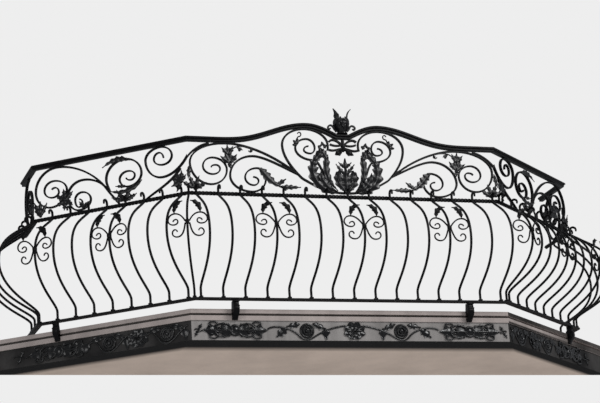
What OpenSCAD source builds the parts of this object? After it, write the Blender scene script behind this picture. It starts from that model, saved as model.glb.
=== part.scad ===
// Wrought iron balcony with a bellied railing on a canted masonry slab.
// Millimetres. X runs along the wall, the balcony stands out towards -Y, Z is up.
// The origin is the middle of the slab's back face, which lies on the wall.

/* [Plan] */
// Length of the front, from corner bar to corner bar
front_w = 2090; // [1900:10:2300]
// Length of each canted side, from corner bar to corner bar
side_l = 1080; // [980:10:1160]
// Angle by which each side turns back from the front, in degrees
cant = 40; // [36:1:45]
// Length of each short return, from the side corner to the wall
return_l = 350; // [320:10:450]

/* [Slab] */
// How far the slab's front edge lies behind the railing line
edge_in = 45; // [35:1:60]
// How far the slab's canted edges lie behind the railing line
side_edge_in = 22; // [18:1:40]
// Height of the nosing, the top course of the slab
nosing_h = 26; // [20:1:45]
// Height of the sunk joint under the nosing
joint_h = 15; // [10:1:25]
// Depth by which the joint is sunk behind the nosing
joint_in = 24; // [10:1:40]
// Height of the belt course
belt_h = 31; // [20:1:45]
// Height of the fascia, which carries the iron frieze
fascia_h = 124; // [114:1:150]
// Depth by which the fascia lies behind the belt course
fascia_in = 8; // [4:1:14]

/* [Rails] */
// Open height between the slab and the bottom rail
foot_gap = 45; // [35:1:80]
// Height of the flat bottom rail
bottom_t = 14; // [10:1:20]
// Width of the flat bottom rail
bottom_w = 36; // [28:1:44]
// Height from the underside of the bottom rail to the underside of the middle rail
mid_z = 675; // [620:5:710]
// Side of the square middle rail
mid_t = 26; // [20:1:32]
// Height of the scroll band, between the middle rail and the hand rail
band_h = 326; // [300:1:360]
// Height of the hand rail's section, cap and carrying bar together
hand_t = 33; // [26:1:40]
// Height of the hand rail's wide cap
cap_t = 18; // [12:1:22]
// Width of the bar that carries the cap
under_w = 30; // [24:1:36]
// Width of the hand rail's section
hand_w = 50; // [40:1:60]

/* [Hand rail humps] */
// Height of the two humps over the front
hump_rise = 116; // [90:1:140]
// Distance of each hump's crest from the middle of the front
hump_x = 245; // [225:1:270]
// Length of the slope from a hump's crest down to the level rail
hump_run = 640; // [520:5:660]
// Height of the seat between the humps, above the level rail
seat_rise = 49; // [30:1:60]
// Half width of the flat seat between the humps
seat_x = 48; // [42:1:56]

/* [Bellied bars] */
// Bars in the front, without its corner bars
front_bars = 15; // [11:4:19]
// Bars in each canted side, without its corner bars
side_bars = 8; // [8:4:12]
// Side of a square bar
bar_t = 14; // [10:1:16]
// How far the belly stands out from the railing line
belly = 272; // [200:5:300]
// Height of the belly's widest place above the bottom rail
belly_z = 370; // [330:5:400]
// Straight foot of a bar
bar_foot = 55; // [30:1:70]
// Distance from a corner bar to the next bar, along the rail
corner_gap = 41; // [34:1:50]
// Radius of the hook at the top of a bar
hook_r = 22; // [14:1:26]
// Height of the ties that hold the butterflies, above the bottom rail's underside
tie_h = 419; // [390:1:440]

/* [Scrolls] */
// Thickness of a scroll bar at its widest, seen from the front
scroll_t = 13; // [10:1:15]
// Thickness of a scroll bar at its eye
scroll_eye = 9; // [6:1:12]
// Thickness of a leaf, which brings its face flush with the middle rail
leaf_t = 3; // [2:0.5:4]

/* [Brackets] */
// Distance of the front brackets from the front corners
bracket_in = 261; // [225:1:335]
// Distance of the side bracket from the side corner, along the side
side_bracket_in = 115; // [80:1:180]
// Width of a bracket
bracket_w = 36; // [28:1:46]

/* [Frieze] */
// Thickness of the flat ironwork on the fascia
frieze_t = 10; // [6:1:14]
// Radius of a rosette
rosette_r = 48; // [40:1:52]
// Radius of the flower in the middle of each side
flower_r = 54; // [44:1:58]
// Length of the cartouche under each bracket
cartouche_l = 416; // [340:4:440]

/* [Hidden] */

iron = "#1b1b1d";
iron_leaf = "#26262a";
stone_pale = "#b9b4ab";
stone_grey = "#8f8c88";
stone_dark = "#5c5a58";

// Heights, all from the origin
slab_t = nosing_h + joint_h + belt_h + fascia_h;
slab_top = slab_t / 2;
fascia_top = -slab_top + fascia_h;
rail_z = slab_top + foot_gap;
bar_z = rail_z + bottom_t;
mid_under = rail_z + mid_z;
mid_top = mid_under + mid_t;
hand_under = mid_top + band_h;
hand_top = hand_under + hand_t;
bar_h = mid_under - bar_z;
bracket_x = front_w / 2 - bracket_in;
side_bracket_x = side_l - side_bracket_in;

// Plan of the railing line
front_y = return_l + side_l * sin(cant);
side_x = front_w / 2 + side_l * cos(cant);
side_turn = 90 - cant;
front_pitch = (front_w - 2 * corner_gap) / (front_bars - 1);
side_pitch = (side_l - corner_gap) / side_bars;

// The scrolls are drawn for a front of 2090, a side of 1080 and a band of 326, and follow the real sizes
front_scale = front_w / 2090;
side_scale = side_l / 1080;
height_scale = band_h / 326;

// A leaf lies on the front of a scroll bar, and its face is flush with the middle rail's
scroll_d = mid_t - 2 * leaf_t;
leaf_out = scroll_d / 2 + leaf_t / 2;
bend_steps = 10;
quarter_steps = 5;
trim = 400;

// A corner of the railing line, moved outwards by out
function front_corner(out) = [-(front_w / 2 + out * tan(cant / 2)), -(front_y + out)];
function side_corner(out) = [-(side_x + out), -(return_l + out * tan(side_turn / 2))];

// A cubic curve from p0 to p3, without its first point
function bend(p0, p1, p2, p3, n = bend_steps) =
    [for (i = [1:n]) let (t = i / n, s = 1 - t)
        s * s * s * p0 + 3 * s * s * t * p1 + 3 * s * t * t * p2 + t * t * t * p3];
// A scroll through its outermost points, one quarter of an ellipse after the other.
// At its first point the bar runs upright or level, and it turns by a right angle to each next one.
function quarter(p, q, upright, n) =
    [for (i = [1:n]) let (a = 90 * i / n)
        upright ? [q.x + (p.x - q.x) * cos(a), p.y + (q.y - p.y) * sin(a)]
                : [p.x + (q.x - p.x) * sin(a), q.y + (p.y - q.y) * cos(a)]];
function winding(points, upright, n = quarter_steps) =
    [for (i = [0:len(points) - 2]) each quarter(points[i], points[i + 1], upright == (i % 2 == 0), n)];
function whirl(points, upright, n = quarter_steps) = concat([points[0]], winding(points, upright, n));
function scaled(path, sx, sz) = [for (p = path) [p.x * sx, p.y * sz]];
function on_front(path) = scaled(path, front_scale, height_scale);
function on_side(path) = scaled(path, side_scale, height_scale);

// Outline of a bar that follows a path, w0 wide at its start and w1 at its end
function heading(path, i) =
    let (a = path[max(i - 1, 0)], b = path[min(i + 1, len(path) - 1)], d = b - a)
    d / norm(d);
function edge(path, w0, w1, side) =
    let (n = len(path) - 1)
    [for (i = [0:n]) let (h = heading(path, i), w = (w0 + (w1 - w0) * i / n) / 2)
        path[i] + side * w * [-h.y, h.x]];
function reversed(list) = [for (i = [len(list) - 1:-1:0]) list[i]];
function ribbon(path, w0, w1) = concat(edge(path, w0, w1, 1), reversed(edge(path, w0, w1, -1)));

// Outline of a leaf that follows its midrib: every second point carries a tip that leans forward
function frond_side(rib, w, side) =
    let (n = len(rib) - 1)
    [for (i = [0:n - 1]) let (h = heading(rib, i), tip = i % 2 == 1,
        half = w / 2 * max(0.12, sin(180 * pow(i / n, 0.65)) * (tip ? 1 : 0.6)))
        rib[i] + side * half * [-h.y, h.x] + (tip ? w * 0.14 : 0) * h];
function frond(rib, w) =
    concat(frond_side(rib, w, 1), [rib[len(rib) - 1]], reversed(frond_side(rib, w, -1)));
function midrib(l, turn, n) =
    [for (i = [0:n]) let (s = l * i / n)
        turn == 0 ? [s, 0] : let (a = s / turn * 180 / PI) [turn * sin(a), turn * (1 - cos(a))]];

// Places: a drawing in x and z stands upright on the front, on a side or on a return
module at_front() translate([0, -front_y, 0]) children();
module at_left() translate([-front_w / 2, -front_y, 0]) rotate([0, 0, -cant]) children();
module at_return() translate([-side_x, -return_l, 0]) rotate([0, 0, -90]) children();
module upright(depth, out = 0)
    translate([0, -out, 0]) rotate([90, 0, 0]) linear_extrude(depth, center = true) children();
module across(depth) rotate([90, 0, -90]) linear_extrude(depth, center = true) children();
module bar_2d(path, w0 = scroll_t, w1 = scroll_t) polygon(ribbon(path, w0, w1));
module leaf(at, angle, l, w, lobes = 4, turn = 0)
    translate(at) rotate(angle) polygon(frond(midrib(l, turn, 2 * lobes + 1), w));

// Masonry
function slab_front(inset) =
    let (f = edge_in + inset, s = side_edge_in + inset)
    [-(front_w / 2 + (f * cos(cant) - s) / sin(cant)), -(front_y - f)];
module course(z, h, inset) {
    p = slab_front(inset);
    wall_x = p.x + p.y / tan(cant);
    translate([0, 0, z]) linear_extrude(h)
        polygon([p, [-p.x, p.y], [-wall_x, 0], [wall_x, 0]]);
}
module floor_slab() color(stone_pale) course(slab_top - nosing_h, nosing_h, 0);
module sunk_joint() color(stone_dark) course(slab_top - nosing_h - joint_h, joint_h, joint_in);
module belt_course() color(stone_pale) course(fascia_top, belt_h, 0);
module fascia_course() color(stone_grey) course(-slab_top, fascia_h, fascia_in);

// Rails, mitred at the corners
module front_rail(w, z, h) {
    p = front_corner(w / 2);
    q = front_corner(-w / 2);
    translate([0, 0, z]) linear_extrude(h) polygon([p, [-p.x, p.y], [-q.x, q.y], q]);
}
module side_rail(w, z, h) {
    a = w / 2;
    translate([0, 0, z]) linear_extrude(h)
        polygon([front_corner(a), side_corner(a), side_corner(-a), front_corner(-a)]);
}
module return_rail(w, z, h) {
    p = side_corner(w / 2);
    q = side_corner(-w / 2);
    translate([0, 0, z]) linear_extrude(h) polygon([p, [p.x, 0], [q.x, 0], q]);
}
module front_bottom_rail() color(iron) front_rail(bottom_w, rail_z, bottom_t);
module left_bottom_rail() color(iron) side_rail(bottom_w, rail_z, bottom_t);
module right_bottom_rail() mirror([1, 0, 0]) left_bottom_rail();
module front_middle_rail() color(iron) front_rail(mid_t, mid_under, mid_t);
module left_middle_rail() color(iron) side_rail(mid_t, mid_under, mid_t);
module right_middle_rail() mirror([1, 0, 0]) left_middle_rail();
module left_hand_rail() color(iron) {
    side_rail(under_w, hand_under, hand_t - cap_t);
    side_rail(hand_w, hand_top - cap_t, cap_t);
}
module right_hand_rail() mirror([1, 0, 0]) left_hand_rail();

// Rise of the hand rail's underside above its level stretch, at x from the middle
slope_ease = 1.7;
function hump(x) =
    let (d = abs(x))
    d >= hump_x + hump_run ? 0 :
    d >= hump_x ? hump_rise * pow((1 + cos(180 * (d - hump_x) / hump_run)) / 2, slope_ease) :
    d >= seat_x ? seat_rise + (hump_rise - seat_rise) * sin(90 * (d - seat_x) / (hump_x - seat_x)) :
    seat_rise;
hump_steps = 26;
function hump_line(x0, x1, up) =
    [for (i = [0:hump_steps]) let (x = x0 + (x1 - x0) * i / hump_steps) [x, hand_under + up + hump(x)]];
hump_end = hump_x + hump_run;
function hand_line(up, half) = concat(
    [[-half, hand_under + up]], hump_line(-hump_end, -seat_x, up),
    hump_line(seat_x, hump_end, up), [[half, hand_under + up]]);
module humped_rail(w, low, high) intersection() {
    at_front() upright(w) polygon(concat(hand_line(low, front_w), reversed(hand_line(high, front_w))));
    front_rail(w, hand_under - hand_t, 3 * hand_t + hump_rise);
}
module front_hand_rail() color(iron) {
    humped_rail(under_w, 0, hand_t - cap_t);
    humped_rail(hand_w, hand_t - cap_t, hand_t);
}

// Bellied bar, seen from its side: x is outwards and y is up from the bottom rail.
// It stands on the bottom rail, swells out, lies against the middle rail and ends in a hook.
module bellied_bar(stretch = 1) {
    b = belly * stretch;
    top_out = mid_t / 2 * stretch + bar_t / 2;
    foot = [0, bar_foot];
    wide = [b, belly_z];
    top = [top_out, bar_h];
    past = [top_out, mid_top - bar_z + 6];
    lower = bend(foot, foot + [0, bar_h * 0.08], wide - [0, bar_h * 0.31], wide);
    upper = bend(wide, wide + [0, bar_h * 0.24], top + [b * 0.42, -bar_h * 0.12], top);
    hook = whirl([past, past + [hook_r, hook_r], past + [2 * hook_r, 0]], true, 4);
    translate([0, 0, bar_z]) across(bar_t)
        bar_2d(concat([[0, 0], foot], lower, upper, hook, [past + [2 * hook_r - 3, -8]]), bar_t, bar_t);
}
function front_bar_x(i) = -front_w / 2 + corner_gap + i * front_pitch;
function side_bar_x(i) = -side_l + (i + 1) * side_pitch;
module at_front_mitre() at_left() rotate([0, 0, cant / 2]) children();
module at_side_mitre() at_return() rotate([0, 0, side_turn / 2]) children();
front_stretch = 1 / cos(cant / 2);
side_stretch = 1 / cos(side_turn / 2);
module front_bars_panel() color(iron) {
    at_front() for (i = [0:front_bars - 1]) translate([front_bar_x(i), 0, 0]) bellied_bar();
    for (s = [0, 1]) mirror([s, 0, 0]) at_front_mitre() bellied_bar(front_stretch);
}
module left_bars_panel() color(iron) {
    at_left() for (i = [0:side_bars - 1]) translate([side_bar_x(i), 0, 0]) bellied_bar();
    at_side_mitre() bellied_bar(side_stretch);
}
module right_bars_panel() mirror([1, 0, 0]) left_bars_panel();

// Keeps a drawing between the middle rail and the hand rail, and cuts it at the corners' mitres
module band_2d() translate([0, mid_top]) intersection() {
    children();
    translate([-trim - side_l, 0]) square([2 * trim + side_l, band_h]);
}
module humped_2d() intersection() {
    translate([0, mid_top]) children();
    polygon(concat([[-front_w, mid_top]], hand_line(0, front_w), [[front_w, mid_top]]));
}
module front_band(depth, out = 0) intersection() {
    at_front() upright(depth, out) humped_2d() children();
    front_rail(trim, mid_top - 1, band_h + hump_rise + 2);
}
module side_band(depth, out = 0) intersection() {
    at_left() upright(depth, out) band_2d() children();
    side_rail(4 * hand_w, mid_top - 1, band_h + 2);
}

// Short return: three rails, bellied bars and one upright scroll
return_bars = 3;
return_scroll = whirl([[-192, 158], [-166, 182], [-138, 150], [-186, 104], [-244, 164], [-168, 236],
    [-92, 140], [-196, 5], [-304, 176], [-180, 320]], true);
module left_return() color(iron) {
    return_rail(bottom_w, rail_z, bottom_t);
    return_rail(mid_t, mid_under, mid_t);
    return_rail(under_w, hand_under, hand_t - cap_t);
    return_rail(hand_w, hand_top - cap_t, cap_t);
    at_return() {
        for (i = [0:return_bars - 1])
            translate([-corner_gap - i * (return_l - 2 * corner_gap) / (return_bars - 0.5), 0, 0])
                bellied_bar();
        upright(scroll_d) band_2d()
            bar_2d(scaled(return_scroll, return_l / 350, height_scale), scroll_eye, scroll_t);
        upright(leaf_t, leaf_out) band_2d() scale([return_l / 350, height_scale]) {
            for (a = [64, 88, 112]) leaf([-50, 3], a, 132, 46, 4);
            leaf([-62, 196], -84, 92, 40, 3);
        }
    }
}
module right_return() mirror([1, 0, 0]) left_return();

// Scroll bars of the front's left half, x from the middle and y from the middle rail
lobe_top = (band_h + hump_rise) / height_scale - scroll_t / 2 + 2;
heart_path = concat(
    whirl([[-108, 298], [-103, 335], [-252, lobe_top], [-412, 322]], false, 7),
    bend([-412, 322], [-412, 250], [-365, 178], [-292, 104]),
    bend([-292, 104], [-215, 60], [-130, 10], [0, 12]));
front_a_path = concat(
    whirl([[-891, 161], [-858, 176], [-833, 152], [-885, 114], [-945, 164], [-878, 224],
        [-789, 150], [-900, 47], [-1029, 185], [-790, 321]], true),
    bend([-790, 321], [-680, 325], [-520, 272], [-385, 178]), [[-333, 148]]);
front_b_path = concat(
    whirl([[-618, 104], [-584, 80], [-618, 49], [-672, 98], [-588, 163], [-535, 95],
        [-633, 5], [-770, 104], [-612, 242]], false),
    bend([-612, 242], [-540, 242], [-435, 185], [-317, 130]));
corner_tail_path = concat([[-1075, 172]], bend([-1075, 172], [-1050, 226], [-1005, 276], [-940, 305]),
    [[-884, 314]]);
module front_left_scrolls() color(iron) front_band(scroll_d) difference() {
    union() {
        bar_2d(on_front(front_a_path), scroll_eye);
        bar_2d(on_front(front_b_path), scroll_eye);
        bar_2d(on_front(corner_tail_path));
    }
    bar_2d(on_front(heart_path));
}
module front_right_scrolls() mirror([1, 0, 0]) front_left_scrolls();

// Heart: a lobed bar on each side, with a coil inside it that grows from the heart's foot
heart_coil_path = concat(
    whirl([[-235, 322], [-268, 296], [-226, 273], [-193, 314], [-247, 370], [-325, 304], [-207, 228]], false),
    bend([-207, 228], [-150, 228], [-150, 60], [-60, 16]));
tendril_path = concat([[-310, 340]], whirl([[-308, 362], [-292, 386], [-280, 402], [-291, 414], [-302, 404]], true, 4));
module heart_half() {
    bar_2d(on_front(heart_path));
    bar_2d(on_front(heart_coil_path), scroll_eye);
    bar_2d(on_front(tendril_path), 8, 6);
}
module heart_bar() color(iron) front_band(scroll_d) {
    heart_half();
    mirror([1, 0]) heart_half();
}

// Scroll bars of a canted side, x from the front corner and y from the middle rail
side_c_path = concat(
    whirl([[-958, 176], [-934, 186], [-908, 152], [-952, 122], [-1012, 174], [-946, 232], [-850, 160],
        [-962, 58], [-1075, 172], [-924, 319]], true),
    bend([-924, 319], [-804, 319], [-650, 240], [-564, 108]), bend([-564, 108], [-540, 70], [-512, 40], [-476, -10], 4));
side_d_path = concat(
    whirl([[-762, 78], [-742, 50], [-769, 26], [-794, 76], [-746, 122], [-682, 66], [-766, 6],
        [-845, 106], [-738, 202]], false),
    bend([-738, 202], [-670, 202], [-614, 172], [-564, 116]));
side_e_path = concat(
    whirl([[-427, 160], [-395, 142], [-366, 172], [-416, 204], [-474, 156], [-410, 101], [-319, 180],
        [-439, 287], [-568, 172]], true),
    bend([-568, 172], [-568, 150], [-560, 130], [-546, 92], 5));
side_f_path = concat(
    whirl([[-162, 246], [-192, 285], [-229, 244], [-166, 201], [-103, 254], [-184, 321], [-288, 246],
        [-174, 120]], true),
    bend([-174, 120], [-110, 120], [-40, 160], [16, 250]));
side_s_path = concat([[-300, -8]], bend([-300, -8], [-205, 48], [-120, 70], [-48, 158]));
module left_scrolls() color(iron) side_band(scroll_d) {
    bar_2d(on_side(side_c_path), scroll_eye);
    bar_2d(on_side(side_d_path), scroll_eye);
    bar_2d(on_side(side_e_path), scroll_eye);
    bar_2d(on_side(side_f_path), scroll_eye);
    bar_2d(on_side(side_s_path));
}
module right_scrolls() mirror([1, 0, 0]) left_scrolls();

// Butterfly of scrolls between two bars, held by a collar on the bar in the middle
wing_t = 9;
wing_d = 10;
wing_reach = 141;
collar_t = 5;
collar_h = 26;
collar_gap = 0.2;
module wing(span, root) {
    k = (span - bar_t / 2 - wing_t / 2 - collar_gap) / wing_reach;
    upper = concat([[-root / k, 6]], bend([-root / k, 6], [-30, 34], [-56, 62], [-96, 62], 5),
        winding([[-96, 62], [-wing_reach, 24], [-96, -8], [-69, 8], [-83, 25], [-104, 12]], false, 4));
    lower = concat([[-root / k, -6]], bend([-root / k, -6], [-22, -30], [-28, -87], [-74, -87], 5),
        winding([[-74, -87], [-113, -60], [-94, -39], [-77, -54]], false, 4));
    scale([k, 1]) leaf([-92, 62], 98, 112, 38, 3, -62);
    bar_2d(scaled(upper, k, 1), wing_t, wing_t * 0.8);
    bar_2d(scaled(lower, k, 1), wing_t, wing_t * 0.8);
}
module at_tie() translate([0, -belly, rail_z + tie_h]) children();
module collar() linear_extrude(collar_h, center = true) difference() {
    square(bar_t + 2 * collar_t, center = true);
    translate([0, collar_gap * 5]) square([bar_t + 2 * collar_gap, bar_t + collar_gap * 12], center = true);
}
module butterfly(span) at_tie() {
    upright(wing_d) for (s = [0, 1]) mirror([s, 0]) wing(span, bar_t / 2 + collar_gap * 2);
    collar();
}
corner_span = belly * tan(cant / 2) + corner_gap;
corner_root = (bar_t / 2 + collar_t) * (cos(cant / 2) + sin(cant / 2));
module corner_wing() at_tie() upright(wing_d) wing(corner_span, corner_root + collar_gap);
butterfly_every = 4;
module front_butterfly_scrolls() color(iron) {
    at_front() for (i = [butterfly_every - 1:butterfly_every:front_bars - 1])
        translate([front_bar_x(i), 0, 0]) butterfly(front_pitch);
    for (s = [0, 1]) mirror([s, 0, 0]) {
        at_front() translate([-front_w / 2 - belly * tan(cant / 2), 0, 0]) mirror([1, 0, 0]) corner_wing();
        at_front_mitre() translate([0, -belly * (front_stretch - 1), 0]) at_tie() collar();
    }
}
module left_butterfly_scrolls() color(iron) at_left() {
    for (i = [0:butterfly_every:side_bars - butterfly_every])
        translate([side_bar_x(i), 0, 0]) butterfly(side_pitch);
    translate([belly * tan(cant / 2), 0, 0]) corner_wing();
}
module right_butterfly_scrolls() mirror([1, 0, 0]) left_butterfly_scrolls();

// Leaves that lie on the front of the scroll bars
module front_plate() front_band(leaf_t, leaf_out) scale([front_scale, height_scale]) children();
module side_plate() side_band(leaf_t, leaf_out) scale([side_scale, height_scale]) children();
module front_left_leaves() color(iron_leaf) front_plate() intersection() {
    union() {
        // Spray between the two coils, with a tendril
        for (a = [66, 88, 110, 132]) leaf([-770, 180], a, 124 - abs(a - 92) * 0.7, 44, 4);
        leaf([-772, 190], -82, 84, 38, 3);
        leaf([-720, 292], -25, 44, 26, 2);
        bar_2d(concat([[-752, 270]], bend([-752, 270], [-740, 304], [-690, 304], [-640, 294], 6),
            winding([[-640, 294], [-618, 276], [-630, 264], [-642, 274]], false, 4)), 8, 6);
        // Twig that grows from the lower coil
        polygon(frond(concat([[-592, 160]], bend([-592, 160], [-544, 150], [-524, 56], [-424, 34], 11)), 46));
        leaf([-462, 52], 30, 96, 28, 3);
        leaf([-450, 38], 0, 146, 32, 4);
        // Spray at the corner and the leaf that hangs above it
        for (a = [28, 68, 108, 150]) leaf([-1012, 10], a, 92, 42, 3);
        leaf([-1026, 214], -104, 116, 34, 3);
    }
    translate([-1043, 0]) square([trim * 2, trim]);
}
module front_right_leaves() mirror([1, 0, 0]) front_left_leaves();
module left_leaves() color(iron_leaf) side_plate() intersection() {
    union() {
        // Spray at the front corner
        for (a = [100, 140, 180, 220, 262]) leaf([-44, 84], a, 76, 38, 3);
        leaf([-44, 84], 50, 60, 34, 3);
        // Long leaf on the crown of the coil, and the fronds under it
        polygon(frond(concat([[-392, 268]], bend([-392, 268], [-450, 300], [-520, 296], [-584, 250], 11)), 46));
        polygon(frond(concat([[-310, 124]], bend([-310, 124], [-368, 66], [-468, 50], [-548, 92], 11)), 38));
        leaf([-422, 102], 172, 76, 28, 3);
        for (a = [22, 58, 122, 158]) leaf([-440, 6], a, 96, 40, 4);
        // Spray between the two coils near the wall
        for (a = [40, 96, 152, 208, 264, 320]) leaf([-858, 88], a, 74, 42, 3);
        for (a = [50, 125]) leaf([-720, 4], a, 66, 36, 3);
        // Leaves at the side corner
        for (a = [56, 84, 108]) leaf([-1046, 4], a, 104, 42, 3);
    }
    translate([-1078, 0]) square([1076, trim]);
}
module right_leaves() mirror([1, 0, 0]) left_leaves();

// Heart's filling: two tall acanthus leaves, a palmette, a bow and the crown
module palmette_2d() {
    leaf([0, 6], 90, 244, 74, 6);
    for (s = [0, 1]) mirror([s, 0]) {
        leaf([-8, 8], 122, 176, 84, 5, -260);
        leaf([-4, 128], 128, 96, 24, 3);
    }
}
module acanthus_2d() {
    polygon(frond(concat([[-56, 12]], bend([-56, 12], [-150, 8], [-220, 84], [-213, 170], 9),
        bend([-213, 170], [-212, 226], [-174, 262], [-166, 330], 8)), 98));
    polygon(frond(concat([[-60, 24]], bend([-60, 24], [-110, 66], [-150, 150], [-134, 236], 9),
        bend([-134, 236], [-132, 262], [-126, 280], [-112, 300], 4)), 46));
    translate([-164, 322]) circle(r = 23);
}
module palmette() color(iron_leaf) front_plate() palmette_2d();
module heart_acanthus() color(iron_leaf) front_plate() for (s = [0, 1]) mirror([s, 0]) difference() {
    acanthus_2d();
    palmette_2d();
}
module bow_tie() color(iron) front_band(scroll_d) scale([front_scale, height_scale]) {
    translate([-9, 292]) square([18, trim]);
    for (s = [0, 1]) mirror([s, 0]) {
        bar_2d(concat([[0, 314]], bend([0, 314], [-34, 312], [-60, 290], [-97, 302], 6)), 11, 9);
        bar_2d(concat([[0, 326]], bend([0, 326], [-30, 366], [-70, 384], [-92, 358], 6)), 10, 10);
        bar_2d(concat([[0, 338]], bend([0, 338], [-30, 330], [-60, 326], [-88, 340], 6)), 9, 9);
        leaf([-6, 302], -150, 66, 22, 2);
    }
}
crown_r = 60;
crown_h = 98;
horn_h = 166;
module horn(tall) rotate([90, 0, 0]) linear_extrude(10, center = true)
    polygon([[crown_r * 0.5, crown_h * 0.7], [crown_r - 4, crown_h * 0.55], [crown_r + 1, crown_h * 0.85],
        [crown_r - 4, crown_h + (tall - crown_h) * 0.5], [crown_r - 6, tall], [crown_r - 20, crown_h * 1.1]]);
module crown_finial() color(iron_leaf) at_front() translate([0, 0, hand_top + seat_rise]) {
    rotate_extrude($fn = 48) polygon([[0, 0], [30, 0], [36, 8], [30, 16], [48, 34], [crown_r, 58],
        [crown_r - 3, crown_h * 0.8], [crown_r - 8, crown_h], [crown_r - 16, crown_h], [crown_r - 24, 70], [0, 60]]);
    for (a = [0, 180]) rotate([0, 0, a]) horn(horn_h);
    for (a = [45, 90, 135, 225, 270, 315]) rotate([0, 0, a]) horn(crown_h * 1.25);
    for (s = [0, 1]) mirror([s, 0, 0]) upright(14)
        bar_2d(concat([[-30, 10]], bend([-30, 10], [-62, 14], [-58, 58], [-80, 58], 6),
            winding([[-80, 58], [-96, 44], [-86, 34], [-78, 42]], false, 4)), 11, 7);
}

// Brackets that carry the bottom rail on the slab's edge
module bracket(back) across(bracket_w) polygon(concat(
    [[-back, fascia_top], [-back, slab_top], [-back + 10, rail_z], [bottom_w / 2 - 4, rail_z]],
    bend([bottom_w / 2 - 4, rail_z], [bottom_w / 2 - 14, rail_z - foot_gap * 0.6],
        [bottom_w / 2 + 8, slab_top + 6], [bottom_w / 2 + 4, slab_top - nosing_h / 2], 6),
    bend([bottom_w / 2 + 4, slab_top - nosing_h / 2], [bottom_w / 2, slab_top - nosing_h * 1.6],
        [-4, fascia_top + belt_h], [-back + 12, fascia_top], 6)));
module front_brackets() color(iron) at_front()
    for (s = [-1, 1]) translate([s * bracket_x, 0, 0]) bracket(edge_in);
module left_bracket() color(iron) at_left() translate([-side_bracket_x, 0, 0]) bracket(side_edge_in);
module side_brackets() {
    left_bracket();
    mirror([1, 0, 0]) left_bracket();
}

// Iron frieze on the fascia. Its ends keep a margin from the fascia's corners.
frieze_z = -slab_top + fascia_h / 2;
frieze_gap = 5;
frieze_margin = 18;
front_frieze_end = -slab_front(fascia_in).x - frieze_margin;
side_frieze_end = (-slab_front(fascia_in).x - front_w / 2) * cos(cant)
    + (slab_front(fascia_in).y + front_y) * sin(cant) + frieze_margin;
front_rosette_x = (flower_r + bracket_x - cartouche_l / 2) / 2;
side_near = side_bracket_x - cartouche_l / 2;
side_flower_x = (side_near + side_frieze_end) / 2;
side_rosette_x = [(side_frieze_end + side_flower_x - flower_r) / 2, (side_near + side_flower_x + flower_r) / 2];
module on_front_fascia() at_front() translate([0, edge_in + fascia_in, frieze_z]) children();
module on_side_fascia() at_left() translate([0, side_edge_in + fascia_in, frieze_z]) children();
module rosette() rotate([90, 0, 0]) rotate_extrude($fn = 48)
    polygon([[0, 0], [rosette_r, 0], [rosette_r, 5], [rosette_r - 5, frieze_t], [rosette_r - 12, frieze_t],
        [rosette_r - 17, 4], [rosette_r * 0.4, 4], [rosette_r * 0.3, frieze_t + 4], [0, frieze_t + 8]]);
module flower() {
    upright(frieze_t, frieze_t / 2) for (a = [0:45:315]) leaf([0, 0], a, flower_r, flower_r * 0.6, 2);
    rotate([90, 0, 0]) cylinder(r = flower_r * 0.3, h = frieze_t + 5, $fn = 32);
}
module cartouche() {
    l = cartouche_l / 2;
    upright(frieze_t, frieze_t / 2) for (s = [0, 1]) mirror([s, 0]) {
        polygon(frond(midrib(l, 0, 15), 104));
        bar_2d(scaled(whirl([[-0.52, 0.1], [-0.46, 0.2], [-0.38, 0.1], [-0.48, -0.16], [-0.62, 0.06],
            [-0.4, 0.46], [-0.1, 0.1]], false, 4), l, 90), 7, 10);
    }
    rotate([90, 0, 0]) cylinder(r1 = 30, r2 = 22, h = frieze_t + 6, $fn = 32);
}
module front_frieze_medallions() color(iron) on_front_fascia() {
    for (s = [-1, 1]) {
        translate([s * front_rosette_x, 0, 0]) rosette();
        translate([s * bracket_x, 0, 0]) cartouche();
    }
    flower();
}
module left_frieze_medallions() color(iron) on_side_fascia() {
    for (x = side_rosette_x) translate([-x, 0, 0]) rosette();
    translate([-side_flower_x, 0, 0]) flower();
    translate([-side_bracket_x, 0, 0]) cartouche();
}
module right_frieze_medallions() mirror([1, 0, 0]) left_frieze_medallions();
// Vine from x0 to x1 that dips under a rosette in the middle
module vine(x0, x1) {
    c = (x0 + x1) / 2;
    low = -rosette_r - 8;
    a = [x0 + frieze_gap, 10];
    b = [x1 - frieze_gap, 34];
    bar_2d(concat([a], bend(a, [x0 + 46, 40], [c - rosette_r * 1.9, 20], [c - rosette_r, low + 16], 6),
        bend([c - rosette_r, low + 16], [c - rosette_r * 0.6, low], [c - 20, low], [c, low], 4),
        bend([c, low], [c + rosette_r, low], [c + rosette_r * 1.6, 10], b, 7)), 7, 7);
    leaf([c - rosette_r - 34, 6], 40, 62, 26, 3);
    leaf([c - rosette_r - 30, -14], 214, 52, 24, 2);
    leaf([c + rosette_r + 26, -4], 128, 50, 24, 2);
    leaf([c + rosette_r + 34, 2], -82, 44, 24, 2);
}
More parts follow.
